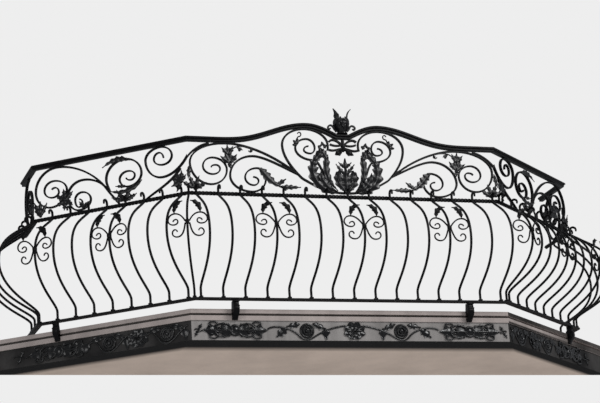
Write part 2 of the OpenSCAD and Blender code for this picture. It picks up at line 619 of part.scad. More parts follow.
// Short sprig that fills the frieze's end
module sprig(x0, x1) {
    bar_2d(concat([[x0, 0]], bend([x0, 0], [x0 * 0.6 + x1 * 0.4, 30], [x0 * 0.4 + x1 * 0.6, -30], [x1, 0], 7)), 7, 7);
    leaf([(x0 + x1) / 2, 0], 60, 44, 24, 2);
    leaf([(x0 + x1) / 2, 0], 240, 44, 24, 2);
}
module front_frieze_vines() color(iron) on_front_fascia() upright(frieze_t, frieze_t / 2)
    for (s = [0, 1]) mirror([s, 0]) {
        vine(-bracket_x + cartouche_l / 2, -flower_r);
        sprig(-front_frieze_end, -bracket_x - cartouche_l / 2 - frieze_gap);
    }
module left_frieze_vines() color(iron) on_side_fascia() upright(frieze_t, frieze_t / 2) {
    vine(-side_near, -side_flower_x - flower_r);
    vine(-side_flower_x + flower_r, -side_frieze_end);
    sprig(-side_bracket_x - cartouche_l / 2 - 120, -side_bracket_x - cartouche_l / 2 - frieze_gap);
}
module right_frieze_vines() mirror([1, 0, 0]) left_frieze_vines();

floor_slab();
sunk_joint();
belt_course();
fascia_course();
front_frieze_medallions();
left_frieze_medallions();
right_frieze_medallions();
front_frieze_vines();
left_frieze_vines();
right_frieze_vines();
front_brackets();
side_brackets();
front_bottom_rail();
left_bottom_rail();
right_bottom_rail();
front_middle_rail();
left_middle_rail();
right_middle_rail();
front_hand_rail();
left_hand_rail();
right_hand_rail();
left_return();
right_return();
front_bars_panel();
left_bars_panel();
right_bars_panel();
front_butterfly_scrolls();
left_butterfly_scrolls();
right_butterfly_scrolls();
front_left_scrolls();
front_right_scrolls();
left_scrolls();
right_scrolls();
heart_bar();
heart_acanthus();
palmette();
bow_tie();
crown_finial();
front_left_leaves();
front_right_leaves();
left_leaves();
right_leaves();
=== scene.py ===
"""Dressed model of a canted balcony with a bellied wrought iron railing.

Every drawing below is in millimetres, in the plane of the part of the railing that it belongs to:
x runs along the rail, y is how far a point lies in front of the railing line, and z is its height.
"""

from __future__ import annotations

import logging
import math
from dataclasses import dataclass, field
from enum import Enum
from typing import Callable, Iterable, Sequence

import bmesh
import bpy
from mathutils import Matrix, Vector

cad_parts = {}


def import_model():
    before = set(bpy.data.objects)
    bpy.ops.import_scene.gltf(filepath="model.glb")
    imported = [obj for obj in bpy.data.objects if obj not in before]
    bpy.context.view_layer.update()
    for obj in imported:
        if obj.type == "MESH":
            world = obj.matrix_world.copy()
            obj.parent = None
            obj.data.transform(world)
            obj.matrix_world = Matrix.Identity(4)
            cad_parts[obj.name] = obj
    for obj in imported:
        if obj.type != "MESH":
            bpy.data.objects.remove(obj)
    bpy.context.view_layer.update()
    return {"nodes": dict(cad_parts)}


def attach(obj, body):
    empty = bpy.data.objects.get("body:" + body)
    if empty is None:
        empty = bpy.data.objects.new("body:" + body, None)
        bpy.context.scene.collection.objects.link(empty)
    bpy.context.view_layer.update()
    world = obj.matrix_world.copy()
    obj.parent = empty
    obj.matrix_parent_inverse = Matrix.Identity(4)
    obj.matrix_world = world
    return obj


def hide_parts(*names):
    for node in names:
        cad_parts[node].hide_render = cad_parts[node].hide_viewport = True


LOG = logging.getLogger("balcony")
METRES = 0.001
SMOOTH = 38.0
CAST_SMOOTH = 50.0
LEAF_SMOOTH = 60.0
LEAF_OUT = 9.6
Colour = tuple[float, float, float]
Mesh = bmesh.types.BMesh
Path = list[Vector]
Point = tuple[float, float]


class Slot(Enum):
    """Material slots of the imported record."""

    BAR = "bar_iron"
    LEAF = "leaf_iron"
    FRIEZE = "frieze_iron"
    PALE = "pale_render"
    GREY = "grey_render"
    SHADOW = "shadow_render"


# Drawing


def bend(p0: Point, p1: Point, p2: Point, p3: Point, steps: int = 16) -> Path:
    """Draw a cubic curve.

    Args:
        p0: Start of the curve, which is left out of the result.
        p1: First control point.
        p2: Second control point.
        p3: End of the curve.
        steps: Number of points.

    Returns:
        The points after the start.
    """
    a, b, c, d = (Vector(p) for p in (p0, p1, p2, p3))
    points = []
    for index in range(1, steps + 1):
        t = index / steps
        s = 1 - t
        points.append(s * s * s * a + 3 * s * s * t * b + 3 * s * t * t * c + t * t * t * d)
    return points


def winding(points: Sequence[Point], upright: bool, steps: int = 9) -> Path:
    """Draw a scroll through its outermost points, a quarter of an ellipse from each to the next.

    Args:
        points: Outermost points, each a right angle of turn after the last.
        upright: True where the bar runs upright at the first point.
        steps: Number of points for a quarter.

    Returns:
        The points after the first.
    """
    path = []
    for index, (p, q) in enumerate(zip(points, points[1:])):
        rises = upright == (index % 2 == 0)
        for step in range(1, steps + 1):
            a = math.pi / 2 * step / steps
            if rises:
                path.append(Vector((q[0] + (p[0] - q[0]) * math.cos(a), p[1] + (q[1] - p[1]) * math.sin(a))))
            else:
                path.append(Vector((p[0] + (q[0] - p[0]) * math.sin(a), q[1] + (p[1] - q[1]) * math.cos(a))))
    return path


def whirl(points: Sequence[Point], upright: bool, steps: int = 9) -> Path:
    """Draw a scroll with its first point."""
    return [Vector(points[0])] + winding(points, upright, steps)


def heading(path: Sequence[Vector], index: int) -> Vector:
    """Give the direction of a path at one of its points."""
    way = path[min(index + 1, len(path) - 1)] - path[max(index - 1, 0)]
    return way.normalized()


def even(path: Sequence[Vector], spacing: float) -> Path:
    """Space the points of a path evenly.

    Args:
        path: Points of the path.
        spacing: Wanted distance between two points.

    Returns:
        Points along the same line.
    """
    reach = [0.0]
    for a, b in zip(path, path[1:]):
        reach.append(reach[-1] + (b - a).length)
    count = max(2, round(reach[-1] / spacing))
    result = []
    segment = 0
    for index in range(count + 1):
        at = reach[-1] * index / count
        while segment < len(path) - 2 and reach[segment + 1] < at:
            segment += 1
        span = reach[segment + 1] - reach[segment]
        share = (at - reach[segment]) / span if span > 0 else 0.0
        result.append(path[segment].lerp(path[segment + 1], min(max(share, 0.0), 1.0)))
    return result


# Plan of the balcony


def shift(x: float, y: float, z: float) -> Matrix:
    """Give the place that lies x, y and z away."""
    return Matrix.Translation((x, y, z))


def spun(degrees: float) -> Matrix:
    """Give a turn about the upright axis."""
    return Matrix.Rotation(math.radians(degrees), 4, "Z")


@dataclass(frozen=True)
class Plan:
    """Sizes and places that the sub-assemblies share."""

    front_w: float = 2090.0
    side_l: float = 1080.0
    cant: float = 40.0
    return_l: float = 350.0
    slab_top: float = 98.0
    nosing_h: float = 26.0
    joint_h: float = 15.0
    belt_h: float = 31.0
    foot_gap: float = 45.0
    bottom_t: float = 14.0
    bottom_w: float = 36.0
    mid_z: float = 675.0
    mid_t: float = 26.0
    band_h: float = 326.0
    hand_t: float = 33.0
    hump_rise: float = 116.0
    hump_x: float = 245.0
    hump_run: float = 640.0
    hump_ease: float = 1.7
    seat_rise: float = 49.0
    seat_x: float = 48.0
    edge_in: float = 45.0
    side_edge_in: float = 22.0
    fascia_in: float = 8.0
    belly: float = 272.0
    bar_t: float = 14.0
    corner_gap: float = 41.0
    front_bars: int = 15
    side_bars: int = 8
    bracket_x: float = 784.0
    side_bracket_in: float = 115.0

    @property
    def rail_z(self) -> float:
        """Height of the bottom rail's underside."""
        return self.slab_top + self.foot_gap

    @property
    def bar_z(self) -> float:
        """Height of the bottom rail's top."""
        return self.rail_z + self.bottom_t

    @property
    def mid_under(self) -> float:
        """Height of the middle rail's underside."""
        return self.rail_z + self.mid_z

    @property
    def mid_top(self) -> float:
        """Height of the middle rail's top."""
        return self.mid_under + self.mid_t

    @property
    def hand_under(self) -> float:
        """Height of the level hand rail's underside."""
        return self.mid_top + self.band_h

    @property
    def front_y(self) -> float:
        """Distance of the front's railing line from the wall."""
        return self.return_l + self.side_l * math.sin(math.radians(self.cant))

    @property
    def side_x(self) -> float:
        """Distance of the return's railing line from the middle."""
        return self.front_w / 2 + self.side_l * math.cos(math.radians(self.cant))

    @property
    def front_pitch(self) -> float:
        """Distance between two bars of the front."""
        return (self.front_w - 2 * self.corner_gap) / (self.front_bars - 1)

    @property
    def side_pitch(self) -> float:
        """Distance between two bars of a side."""
        return (self.side_l - self.corner_gap) / self.side_bars

    @property
    def side_bracket_x(self) -> float:
        """Distance of the side bracket from the front corner."""
        return self.side_l - self.side_bracket_in

    @property
    def nosing_under(self) -> float:
        """Height of the nosing's underside."""
        return self.slab_top - self.nosing_h

    @property
    def fascia_top(self) -> float:
        """Height of the belt's underside, where the fascia starts."""
        return self.nosing_under - self.joint_h - self.belt_h

    @property
    def frieze_z(self) -> float:
        """Height of the frieze's middle line."""
        return (self.fascia_top - self.slab_top) / 2

    def front(self, out: float = 0.0) -> Matrix:
        """Give the place of the front, moved outwards by out."""
        return shift(0, -self.front_y - out, 0)

    def side(self, out: float = 0.0) -> Matrix:
        """Give the place of the left canted side, moved outwards by out."""
        return shift(-self.front_w / 2, -self.front_y, 0) @ spun(-self.cant) @ shift(0, -out, 0)

    def back(self, out: float = 0.0) -> Matrix:
        """Give the place of the left return, moved outwards by out."""
        return shift(-self.side_x, -self.return_l, 0) @ spun(-90) @ shift(0, -out, 0)

    def front_mitre(self) -> Matrix:
        """Give the place of the bar in the corner between the front and the left side."""
        return self.side() @ spun(self.cant / 2)

    def side_mitre(self) -> Matrix:
        """Give the place of the bar in the corner between the left side and the return."""
        return self.back() @ spun(45 - self.cant / 2)

    def hump(self, x: float) -> float:
        """Give the hand rail's rise above its level stretch.

        Args:
            x: Distance from the middle of the front.

        Returns:
            The rise.
        """
        d = abs(x)
        if d >= self.hump_x + self.hump_run:
            return 0.0
        if d >= self.hump_x:
            fall = (1 + math.cos(math.pi * (d - self.hump_x) / self.hump_run)) / 2
            return self.hump_rise * fall ** self.hump_ease
        if d >= self.seat_x:
            rise = math.sin(math.pi / 2 * (d - self.seat_x) / (self.hump_x - self.seat_x))
            return self.seat_rise + (self.hump_rise - self.seat_rise) * rise
        return self.seat_rise


PLAN = Plan()
MIRROR = Matrix.Diagonal((-1, 1, 1, 1))
UNTURNED = Matrix.Identity(4)


# Shaping


class Shape:
    """A piece in the making: meshes are drawn flat, placed and collected here."""

    def __init__(self, mirrored: bool = False) -> None:
        """Start an empty piece.

        Args:
            mirrored: True for the right one of a pair, which is drawn as the left one.
        """
        self.mesh = bmesh.new()
        self.mirrored = mirrored

    def lend(self, part: Mesh, place: Matrix, other: bool = False) -> None:
        """Add a copy of a mesh.

        Args:
            part: Mesh to add, in millimetres.
            place: Its place.
            other: True to add its mirror image instead.
        """
        matrix = MIRROR @ place if self.mirrored != other else place
        data = bpy.data.meshes.new("shape")
        part.to_mesh(data)
        data.transform(matrix)
        if matrix.determinant() < 0:
            data.flip_normals()
        self.mesh.from_mesh(data)
        bpy.data.meshes.remove(data)

    def take(self, part: Mesh, place: Matrix = UNTURNED) -> None:
        """Add a mesh and free it."""
        self.lend(part, place)
        part.free()

    def both(self, part: Mesh, place: Matrix = UNTURNED) -> None:
        """Add a mesh and its mirror image on the other side of the middle, and free it."""
        self.lend(part, place, True)
        self.take(part, place)

    def finish(self, node: str, material: bpy.types.Material, smooth: float) -> None:
        """Make the piece's object and tell the frame which node it stands for.

        Args:
            node: Node of the frame that it replaces.
            material: Its material.
            smooth: Angle in degrees up to which two faces are shaded as one.
        """
        name = f"{node}_dressed"
        bmesh.ops.scale(self.mesh, vec=(METRES, METRES, METRES), verts=self.mesh.verts)
        data = bpy.data.meshes.new(name)
        self.mesh.to_mesh(data)
        self.mesh.free()
        data.shade_smooth()
        data.set_sharp_from_angle(angle=math.radians(smooth))
        data.materials.append(material)
        piece = bpy.data.objects.new(name, data)
        bpy.context.scene.collection.objects.link(piece)
        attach(piece, "root")
        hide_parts(node)
        LOG.info("%s: %d faces", name, len(data.polygons))


def moved(mesh: Mesh, place: Matrix) -> Mesh:
    """Move a mesh to a place."""
    bmesh.ops.transform(mesh, matrix=place, verts=mesh.verts)
    return mesh


def section(width: float, depth: float, chamfer: float) -> list[Point]:
    """Draw the section of a bar with chamfered edges.

    Args:
        width: Size across the bar, in the drawing's plane.
        depth: Size out of the drawing's plane.
        chamfer: Size of the chamfer.

    Returns:
        Corner points.
    """
    w, d, c = width / 2, depth / 2, chamfer
    return [(w, -d + c), (w, d - c), (w - c, d), (-w + c, d),
            (-w, d - c), (-w, -d + c), (-w + c, -d), (w - c, -d)]


def sweep(profile: Sequence[Point], frames: Sequence[Matrix]) -> Mesh:
    """Carry a section through a row of places.

    Args:
        profile: Points of the section, in the x-y plane of a place.
        frames: Places of the section.

    Returns:
        A closed mesh.
    """
    mesh = bmesh.new()
    ring = [mesh.verts.new(frames[0] @ Vector((x, y, 0))) for x, y in profile]
    edges = [mesh.edges.new(pair) for pair in zip(ring, ring[1:] + ring[:1])]
    first = list(edges)
    for before, after in zip(frames, frames[1:]):
        grown = bmesh.ops.extrude_edge_only(mesh, edges=edges)["geom"]
        verts = [item for item in grown if isinstance(item, bmesh.types.BMVert)]
        fresh = set(verts)
        lines = [item for item in grown if isinstance(item, bmesh.types.BMEdge)]
        edges = [line for line in lines if fresh.issuperset(line.verts)]
        bmesh.ops.transform(mesh, matrix=after @ before.inverted(), verts=verts)
    bmesh.ops.edgeloop_fill(mesh, edges=first)
    bmesh.ops.edgeloop_fill(mesh, edges=edges)
    bmesh.ops.recalc_face_normals(mesh, faces=mesh.faces)
    return mesh


def frame_at(origin: Vector, across: Vector, depth: Vector, along: Vector, size: float = 1.0,
             deep: float = 1.0) -> Matrix:
    """Give a place from its three directions.

    Args:
        origin: Middle of the section.
        across: Direction of the section's x.
        depth: Direction of the section's y.
        along: Direction of the bar.
        size: Scale across.
        deep: Scale in depth.

    Returns:
        The place.
    """
    matrix = Matrix((across * size, depth * deep, along)).transposed().to_4x4()
    matrix.translation = origin
    return matrix


def drawn_bar(path: Sequence[Vector], w0: float, w1: float, depth: float, chamfer: float = 2.2,
              out: float = 0.0, thin: float = 1.0) -> Mesh:
    """Make a bar that follows a path in the drawing's plane.

    Args:
        path: Points of the bar's middle line, as x and z.
        w0: Width at the start.
        w1: Width at the end.
        depth: Depth from front to back.
        chamfer: Chamfer of its edges.
        out: How far its middle lies in front of the railing line.
        thin: Share of the depth that is left at the start.

    Returns:
        A closed mesh.
    """
    frames = []
    last = len(path) - 1
    for index, point in enumerate(path):
        way = heading(path, index)
        share = index / last
        size = (w0 + (w1 - w0) * share) / w1
        deep = thin + (1 - thin) * min(1.0, share * 4)
        frames.append(frame_at(Vector((point.x, -out, point.y)), Vector((-way.y, 0, way.x)),
                               Vector((0, 1, 0)), Vector((way.x, 0, way.y)), size, deep))
    return sweep(section(w1, depth, chamfer), frames)


def cut(mesh: Mesh, point: Vector, normal: Vector) -> None:
    """Cut a mesh with a plane, drop what lies in front of it and close the cut.

    Args:
        mesh: Mesh to cut.
        point: A point of the plane.
        normal: Direction that is dropped.
    """
    geometry = [*mesh.verts, *mesh.edges, *mesh.faces]
    result = bmesh.ops.bisect_plane(mesh, geom=geometry, plane_co=point, plane_no=normal, clear_outer=True)
    rim = [item for item in result["geom_cut"] if isinstance(item, bmesh.types.BMEdge)]
    bmesh.ops.edgeloop_fill(mesh, edges=rim)


def round_edges(mesh: Mesh, width: float) -> None:
    """Round every edge of a mesh by a width."""
    bmesh.ops.bevel(mesh, geom=mesh.edges, affect="EDGES", offset=width, segments=2, profile=0.5,
                    material=-1, clamp_overlap=True)


def plate(outline: Sequence[Point], thickness: float, bevel: float) -> Mesh:
    """Make a plate from an outline in x and z, and round its edges.

    Args:
        outline: Corner points.
        thickness: Thickness, half of it on each side of the drawing's plane.
        bevel: Width of the rounding.

    Returns:
        A closed mesh.
    """
    mesh = bmesh.new()
    face = mesh.faces.new([mesh.verts.new((x, thickness / 2, z)) for x, z in outline])
    grown = bmesh.ops.extrude_face_region(mesh, geom=[face])["geom"]
    verts = [item for item in grown if isinstance(item, bmesh.types.BMVert)]
    bmesh.ops.translate(mesh, verts=verts, vec=(0, -thickness, 0))
    bmesh.ops.recalc_face_normals(mesh, faces=mesh.faces)
    round_edges(mesh, bevel)
    return mesh


def block(size: tuple[float, float, float], bevel: float) -> Mesh:
    """Make a forged block with rounded edges.

    Args:
        size: Sizes along x, y and z.
        bevel: Width of the rounding.

    Returns:
        A closed mesh about the origin.
    """
    mesh = bmesh.new()
    bmesh.ops.create_cube(mesh, size=1.0)
    bmesh.ops.scale(mesh, vec=size, verts=mesh.verts)
    round_edges(mesh, bevel)
    return mesh


def join(target: Mesh, part: Mesh) -> None:
    """Add one mesh to another and free it.

    Args:
        target: Mesh that takes the other.
        part: Mesh to add.
    """
    data = bpy.data.meshes.new("join")
    part.to_mesh(data)
    part.free()
    target.from_mesh(data)
    bpy.data.meshes.remove(data)


def turned(profile: Sequence[Point], steps: int = 32) -> Mesh:
    """Turn a profile about the z axis.

    Args:
        profile: Points as radius and height, first and last on the axis.
        steps: Number of faces round.

    Returns:
        A closed mesh.
    """
    mesh = bmesh.new()
    verts = [mesh.verts.new((r, 0, z)) for r, z in profile]
    edges = [mesh.edges.new(pair) for pair in zip(verts, verts[1:])]
    bmesh.ops.spin(mesh, geom=[*verts, *edges], cent=(0, 0, 0), axis=(0, 0, 1), angle=math.tau, steps=steps,
                   use_merge=True)
    bmesh.ops.remove_doubles(mesh, verts=mesh.verts, dist=0.01)
    bmesh.ops.recalc_face_normals(mesh, faces=mesh.faces)
    return mesh


def facing(profile: Sequence[Point], steps: int) -> Mesh:
    """Turn a profile about the axis that points out of the drawing's plane.

    Args:
        profile: Points as radius and height in front of the plane.
        steps: Number of faces round.

    Returns:
        A closed mesh.
    """
    return moved(turned(profile, steps), Matrix.Rotation(math.pi / 2, 4, "X"))


def dome(radius: float, height: float, steps: int = 20) -> Mesh:
    """Make a round boss whose back lies on the drawing's plane.

    Args:
        radius: Its radius.
        height: Its height in front of the plane.
        steps: Number of faces round.

    Returns:
        A closed mesh.
    """
    profile = [(0, 0), (radius, 0), (radius, height * 0.2), (radius * 0.92, height * 0.5),
               (radius * 0.7, height * 0.8), (radius * 0.35, height * 0.97), (0, height)]
    return facing(profile, steps)


# Leaves


@dataclass(frozen=True)
class Frond:
    """A forged leaf with a midrib and lobes on both sides.

    Attributes:
        rib: Points of its midrib in the drawing's plane.
        width: Width over its longest lobes.
        relief: Height of its midrib over its edge.
        curl: How far its tip rises.
        lobed: Depth of its lobes, as a share of the half width.
        blunt: Exponent that moves its widest place towards the tip.
        sheet: Thickness of the metal.
    """

    rib: tuple[Vector, ...]
    width: float
    relief: float = 5.0
    curl: float = 4.0
    lobed: float = 0.36
    blunt: float = 0.8
    sheet: float = 2.4

    def share(self, step: float, count: int) -> tuple[float, float]:
        """Give the half width and the lobe's height at a place along the midrib.

        Args:
            step: Place along the midrib, in points of the outline.
            count: Number of points of the outline.

        Returns:
            Half width, and 1 at a lobe's tip and 0 between two lobes.
        """
        tip = 1 - abs(step % 2 - 1)
        tip = tip * tip * (3 - 2 * tip)
        swell = math.sin(math.pi * min(max(step / count, 0.0), 1.0) ** self.blunt)
        return self.width / 2 * max(0.1, swell * (1 - self.lobed + self.lobed * tip)), tip

    def mesh(self, rows: int = 5) -> Mesh:
        """Make the leaf with its back on the drawing's plane.

        Args:
            rows: Number of faces across each half.

        Returns:
            A closed mesh.
        """
        count = len(self.rib) - 1
        fine = 4 * count
        mesh = bmesh.new()
        bmesh.ops.create_grid(mesh, x_segments=fine, y_segments=2 * rows, size=1.0)
        for vert in mesh.verts:
            step = (vert.co.x + 1) / 2 * count
            side = vert.co.y
            index = min(int(step), count - 1)
            base = self.rib[index].lerp(self.rib[index + 1], step - index)
            ahead = heading(self.rib, index).lerp(heading(self.rib, index + 1), step - index).normalized()
            half, tip = self.share(step, count)
            end = step / count
            lean = self.width * 0.16 * tip * side * side * (1 - end)
            flat = base + ahead * lean + Vector((-ahead.y, ahead.x)) * half * side
            ridge = (1 - abs(side)) ** 1.6
            vein = 0.32 * (tip - 0.5) * abs(side) * (1.2 - abs(side)) * 2.2
            height = self.sheet + self.relief * (0.25 + 0.75 * ridge + vein) * (1 - 0.5 * end)
            height += self.curl * end ** 3 + self.relief * 0.35 * abs(side) ** 4 * tip
            vert.co = (flat.x, -height, flat.y)
        bmesh.ops.recalc_face_normals(mesh, faces=mesh.faces)
        bmesh.ops.solidify(mesh, geom=[*mesh.verts, *mesh.edges, *mesh.faces], thickness=self.sheet)
        bmesh.ops.recalc_face_normals(mesh, faces=mesh.faces)
        return mesh


def midrib(at: Point, angle: float, length: float, lobes: int, turn: float = 0.0) -> tuple[Vector, ...]:
    """Draw the midrib of a straight or evenly curved leaf.

    Args:
        at: Its base.
        angle: Its direction in degrees.
        length: Its length.
        lobes: Number of lobes on each side.
        turn: Radius of its curve, or 0 where it is straight.

    Returns:
        Points of the midrib.
    """
    count = 2 * lobes + 1
    points = []
    a = math.radians(angle)
    for index in range(count + 1):
        s = length * index / count
        x, y = (s, 0.0) if turn == 0 else (turn * math.sin(s / turn), turn * (1 - math.cos(s / turn)))
        points.append(Vector((at[0] + x * math.cos(a) - y * math.sin(a),
                              at[1] + x * math.sin(a) + y * math.cos(a))))
    return tuple(points)


def curved(start: Point, c1: Point, c2: Point, end: Point, steps: int) -> tuple[Vector, ...]:
    """Draw a cubic curve with its start."""
    return (Vector(start), *bend(start, c1, c2, end, steps))


def widened(line: Iterable[Vector], wide: float, tall: float = 1.0) -> tuple[Vector, ...]:
    """Scale a line across and upwards."""
    return tuple(Vector((p.x * wide, p.y * tall)) for p in line)


# Materials


class Value:
    """A socket in an expression: its operators add Math nodes."""

    def __init__(self, shader: Shader, socket: bpy.types.NodeSocket) -> None:
        """Wrap a socket.

        Args:
            shader: Shader that the socket belongs to.
            socket: Output socket.
        """
        self.shader = shader
        self.socket = socket

    def math(self, operation: str, *others: Value | float, clamp: bool = False) -> Value:
        """Add a Math node.

        Args:
            operation: Its operation.
            others: Its other inputs.
            clamp: True to keep the result between 0 and 1.

        Returns:
            Its result.
        """
        return self.shader.add("ShaderNodeMath", {"operation": operation, "use_clamp": clamp},
                               dict(enumerate((self, *others))))

    def __add__(self, other: Value | float) -> Value:
        """Add."""
        return self.math("ADD", other)

    __radd__ = __add__

    def __mul__(self, other: Value | float) -> Value:
        """Multiply."""
        return self.math("MULTIPLY", other)

    __rmul__ = __mul__

    def __sub__(self, other: Value | float) -> Value:
        """Subtract."""
        return self.math("SUBTRACT", other)

    def __rsub__(self, other: float) -> Value:
        """Subtract from a number."""
        return self.math("MULTIPLY", -1.0) + other

    def over(self, low: float, high: float) -> Value:
        """Bring values from low to high to the range from 0 to 1."""
        return ((self - low) * (1.0 / (high - low))).math("ADD", 0.0, clamp=True)


class Shader:
    """A node material built from expressions."""

    def __init__(self, name: str) -> None:
        """Start a material.

        Args:
            name: Name of the material.
        """
        self.material = bpy.data.materials.new(name)
        self.material.use_nodes = True
        self.tree = self.material.node_tree
        self.surface = self.tree.nodes["Principled BSDF"]

    def add(self, kind: str, settings: dict[str, object], inputs: dict[object, object],
            output: int | str = 0) -> Value:
        """Add a node.

        Args:
            kind: Type of the node.
            settings: Attributes that are set first.
            inputs: Values or links by the name or number of the socket.
            output: Output that is returned.

        Returns:
            The output as a value.
        """
        node = self.tree.nodes.new(kind)
        for key, value in settings.items():
            setattr(node, key, value)
        self.feed(node, inputs)
        return Value(self, node.outputs[output])

    def feed(self, node: bpy.types.Node, inputs: dict[object, object]) -> None:
        """Set or link a node's inputs.

        Args:
            node: The node.
            inputs: Values or links by the name or number of the socket.
        """
        for key, value in inputs.items():
            if isinstance(value, Value):
                self.tree.links.new(value.socket, node.inputs[key])
            else:
                node.inputs[key].default_value = value

    def place(self) -> Value:
        """Give the object coordinates."""
        return self.add("ShaderNodeTexCoord", {}, {}, "Object")

    def along(self, axis: str) -> Value:
        """Give how far a point lies along an axis, in metres."""
        return self.add("ShaderNodeSeparateXYZ", {}, {0: self.place()}, axis)

    def facing(self, axis: str) -> Value:
        """Give how far the surface faces along an axis of the world."""
        normal = self.add("ShaderNodeNewGeometry", {}, {}, "Normal")
        return self.add("ShaderNodeSeparateXYZ", {}, {0: normal}, axis)

    def noise(self, scale: float, detail: float, rough: float = 0.55, stretch: Vector | None = None) -> Value:
        """Add noise on object coordinates.

        Args:
            scale: Waves per metre.
            detail: Octaves.
            rough: Share that each octave keeps.
            stretch: Scale of the pattern along each axis.

        Returns:
            Values about 0.5.
        """
        where = self.place()
        if stretch is not None:
            where = self.add("ShaderNodeMapping", {}, {"Vector": where, "Scale": stretch})
        return self.add("ShaderNodeTexNoise", {}, {"Vector": where, "Scale": scale, "Detail": detail,
                                                   "Roughness": rough}, "Fac")

    def mix(self, factor: Value | float, a: object, b: object) -> Value:
        """Mix two colours."""
        return self.add("ShaderNodeMix", {"data_type": "RGBA"}, {0: factor, 6: a, 7: b}, 2)

    def bump(self, height: Value, strength: float, distance: float, before: Value | None = None) -> Value:
        """Add a bump.

        Args:
            height: Its height.
            strength: Its strength.
            distance: Height in metres of a step from 0 to 1.
            before: Bump that it lies on.

        Returns:
            The normal.
        """
        inputs = {"Height": height, "Strength": strength, "Distance": distance}
        if before is not None:
            inputs["Normal"] = before
        return self.add("ShaderNodeBump", {}, inputs)

    def set(self, **sockets: object) -> bpy.types.Material:
        """Feed the surface's sockets.

        Args:
            sockets: Values or links by the socket's name, with an underscore for a space.

        Returns:
            The finished material.
        """
        self.feed(self.surface, {key.replace("_", " "): value for key, value in sockets.items()})
        return self.material


@dataclass(frozen=True)
class IronPaint:
    """Black paint on forged iron, dull and dusty in places and rubbed on its edges.

    Attributes:
        name: Name of the material.
        dark: Colour of the paint.
        rough: Its roughness.
        hammer: Strength of the hammer marks.
        dust: Share of dust on faces that look up.
        shine: Level of its gloss.
        dusty: Colour of the dust.
        bare: Colour of rubbed edges.
        dull: Colour of faded paint.
    """

    name: str
    dark: Colour
    rough: float
    hammer: float
    dust: float
    shine: float
    dusty: Colour = (0.03, 0.028, 0.027)
    bare: Colour = (0.02, 0.019, 0.019)
    dull: Colour = (0.006, 0.0055, 0.005)

    def make(self) -> bpy.types.Material:
        """Build the material.

        Returns:
            The material.
        """
        shader = Shader(self.name)
        broad = shader.noise(scale=5.0, detail=5.0)
        grain = shader.noise(scale=420.0, detail=3.0, rough=0.6)
        hammered = shader.add("ShaderNodeTexVoronoi", {"feature": "SMOOTH_F1"},
                              {"Vector": shader.place(), "Scale": 62.0, "Smoothness": 0.6}, "Distance")
        settled = shader.facing("Z").over(0.25, 1.0) * broad.over(0.3, 0.7) * self.dust
        edge = shader.add("ShaderNodeNewGeometry", {}, {}, "Pointiness").over(0.53, 0.6)
        rubbed = edge * grain.over(0.42, 0.62)
        colour = shader.mix(settled, (*self.dark, 1), (*self.dusty, 1))
        colour = shader.mix(rubbed * 0.4, colour, (*self.bare, 1))
        colour = shader.mix(broad.over(0.5, 0.75) * 0.35, colour, (*self.dull, 1))
        relief = shader.bump(hammered, strength=self.hammer, distance=0.0012)
        relief = shader.bump(grain, strength=0.18, distance=0.0004, before=relief)
        rough = (broad.over(0.3, 0.7) * 0.16 + settled * 0.3 + (self.rough - 0.06)).math("MINIMUM", 0.9)
        return shader.set(Base_Color=colour, Roughness=rough, Metallic=0.0, Normal=relief,
                          Specular_IOR_Level=self.shine)


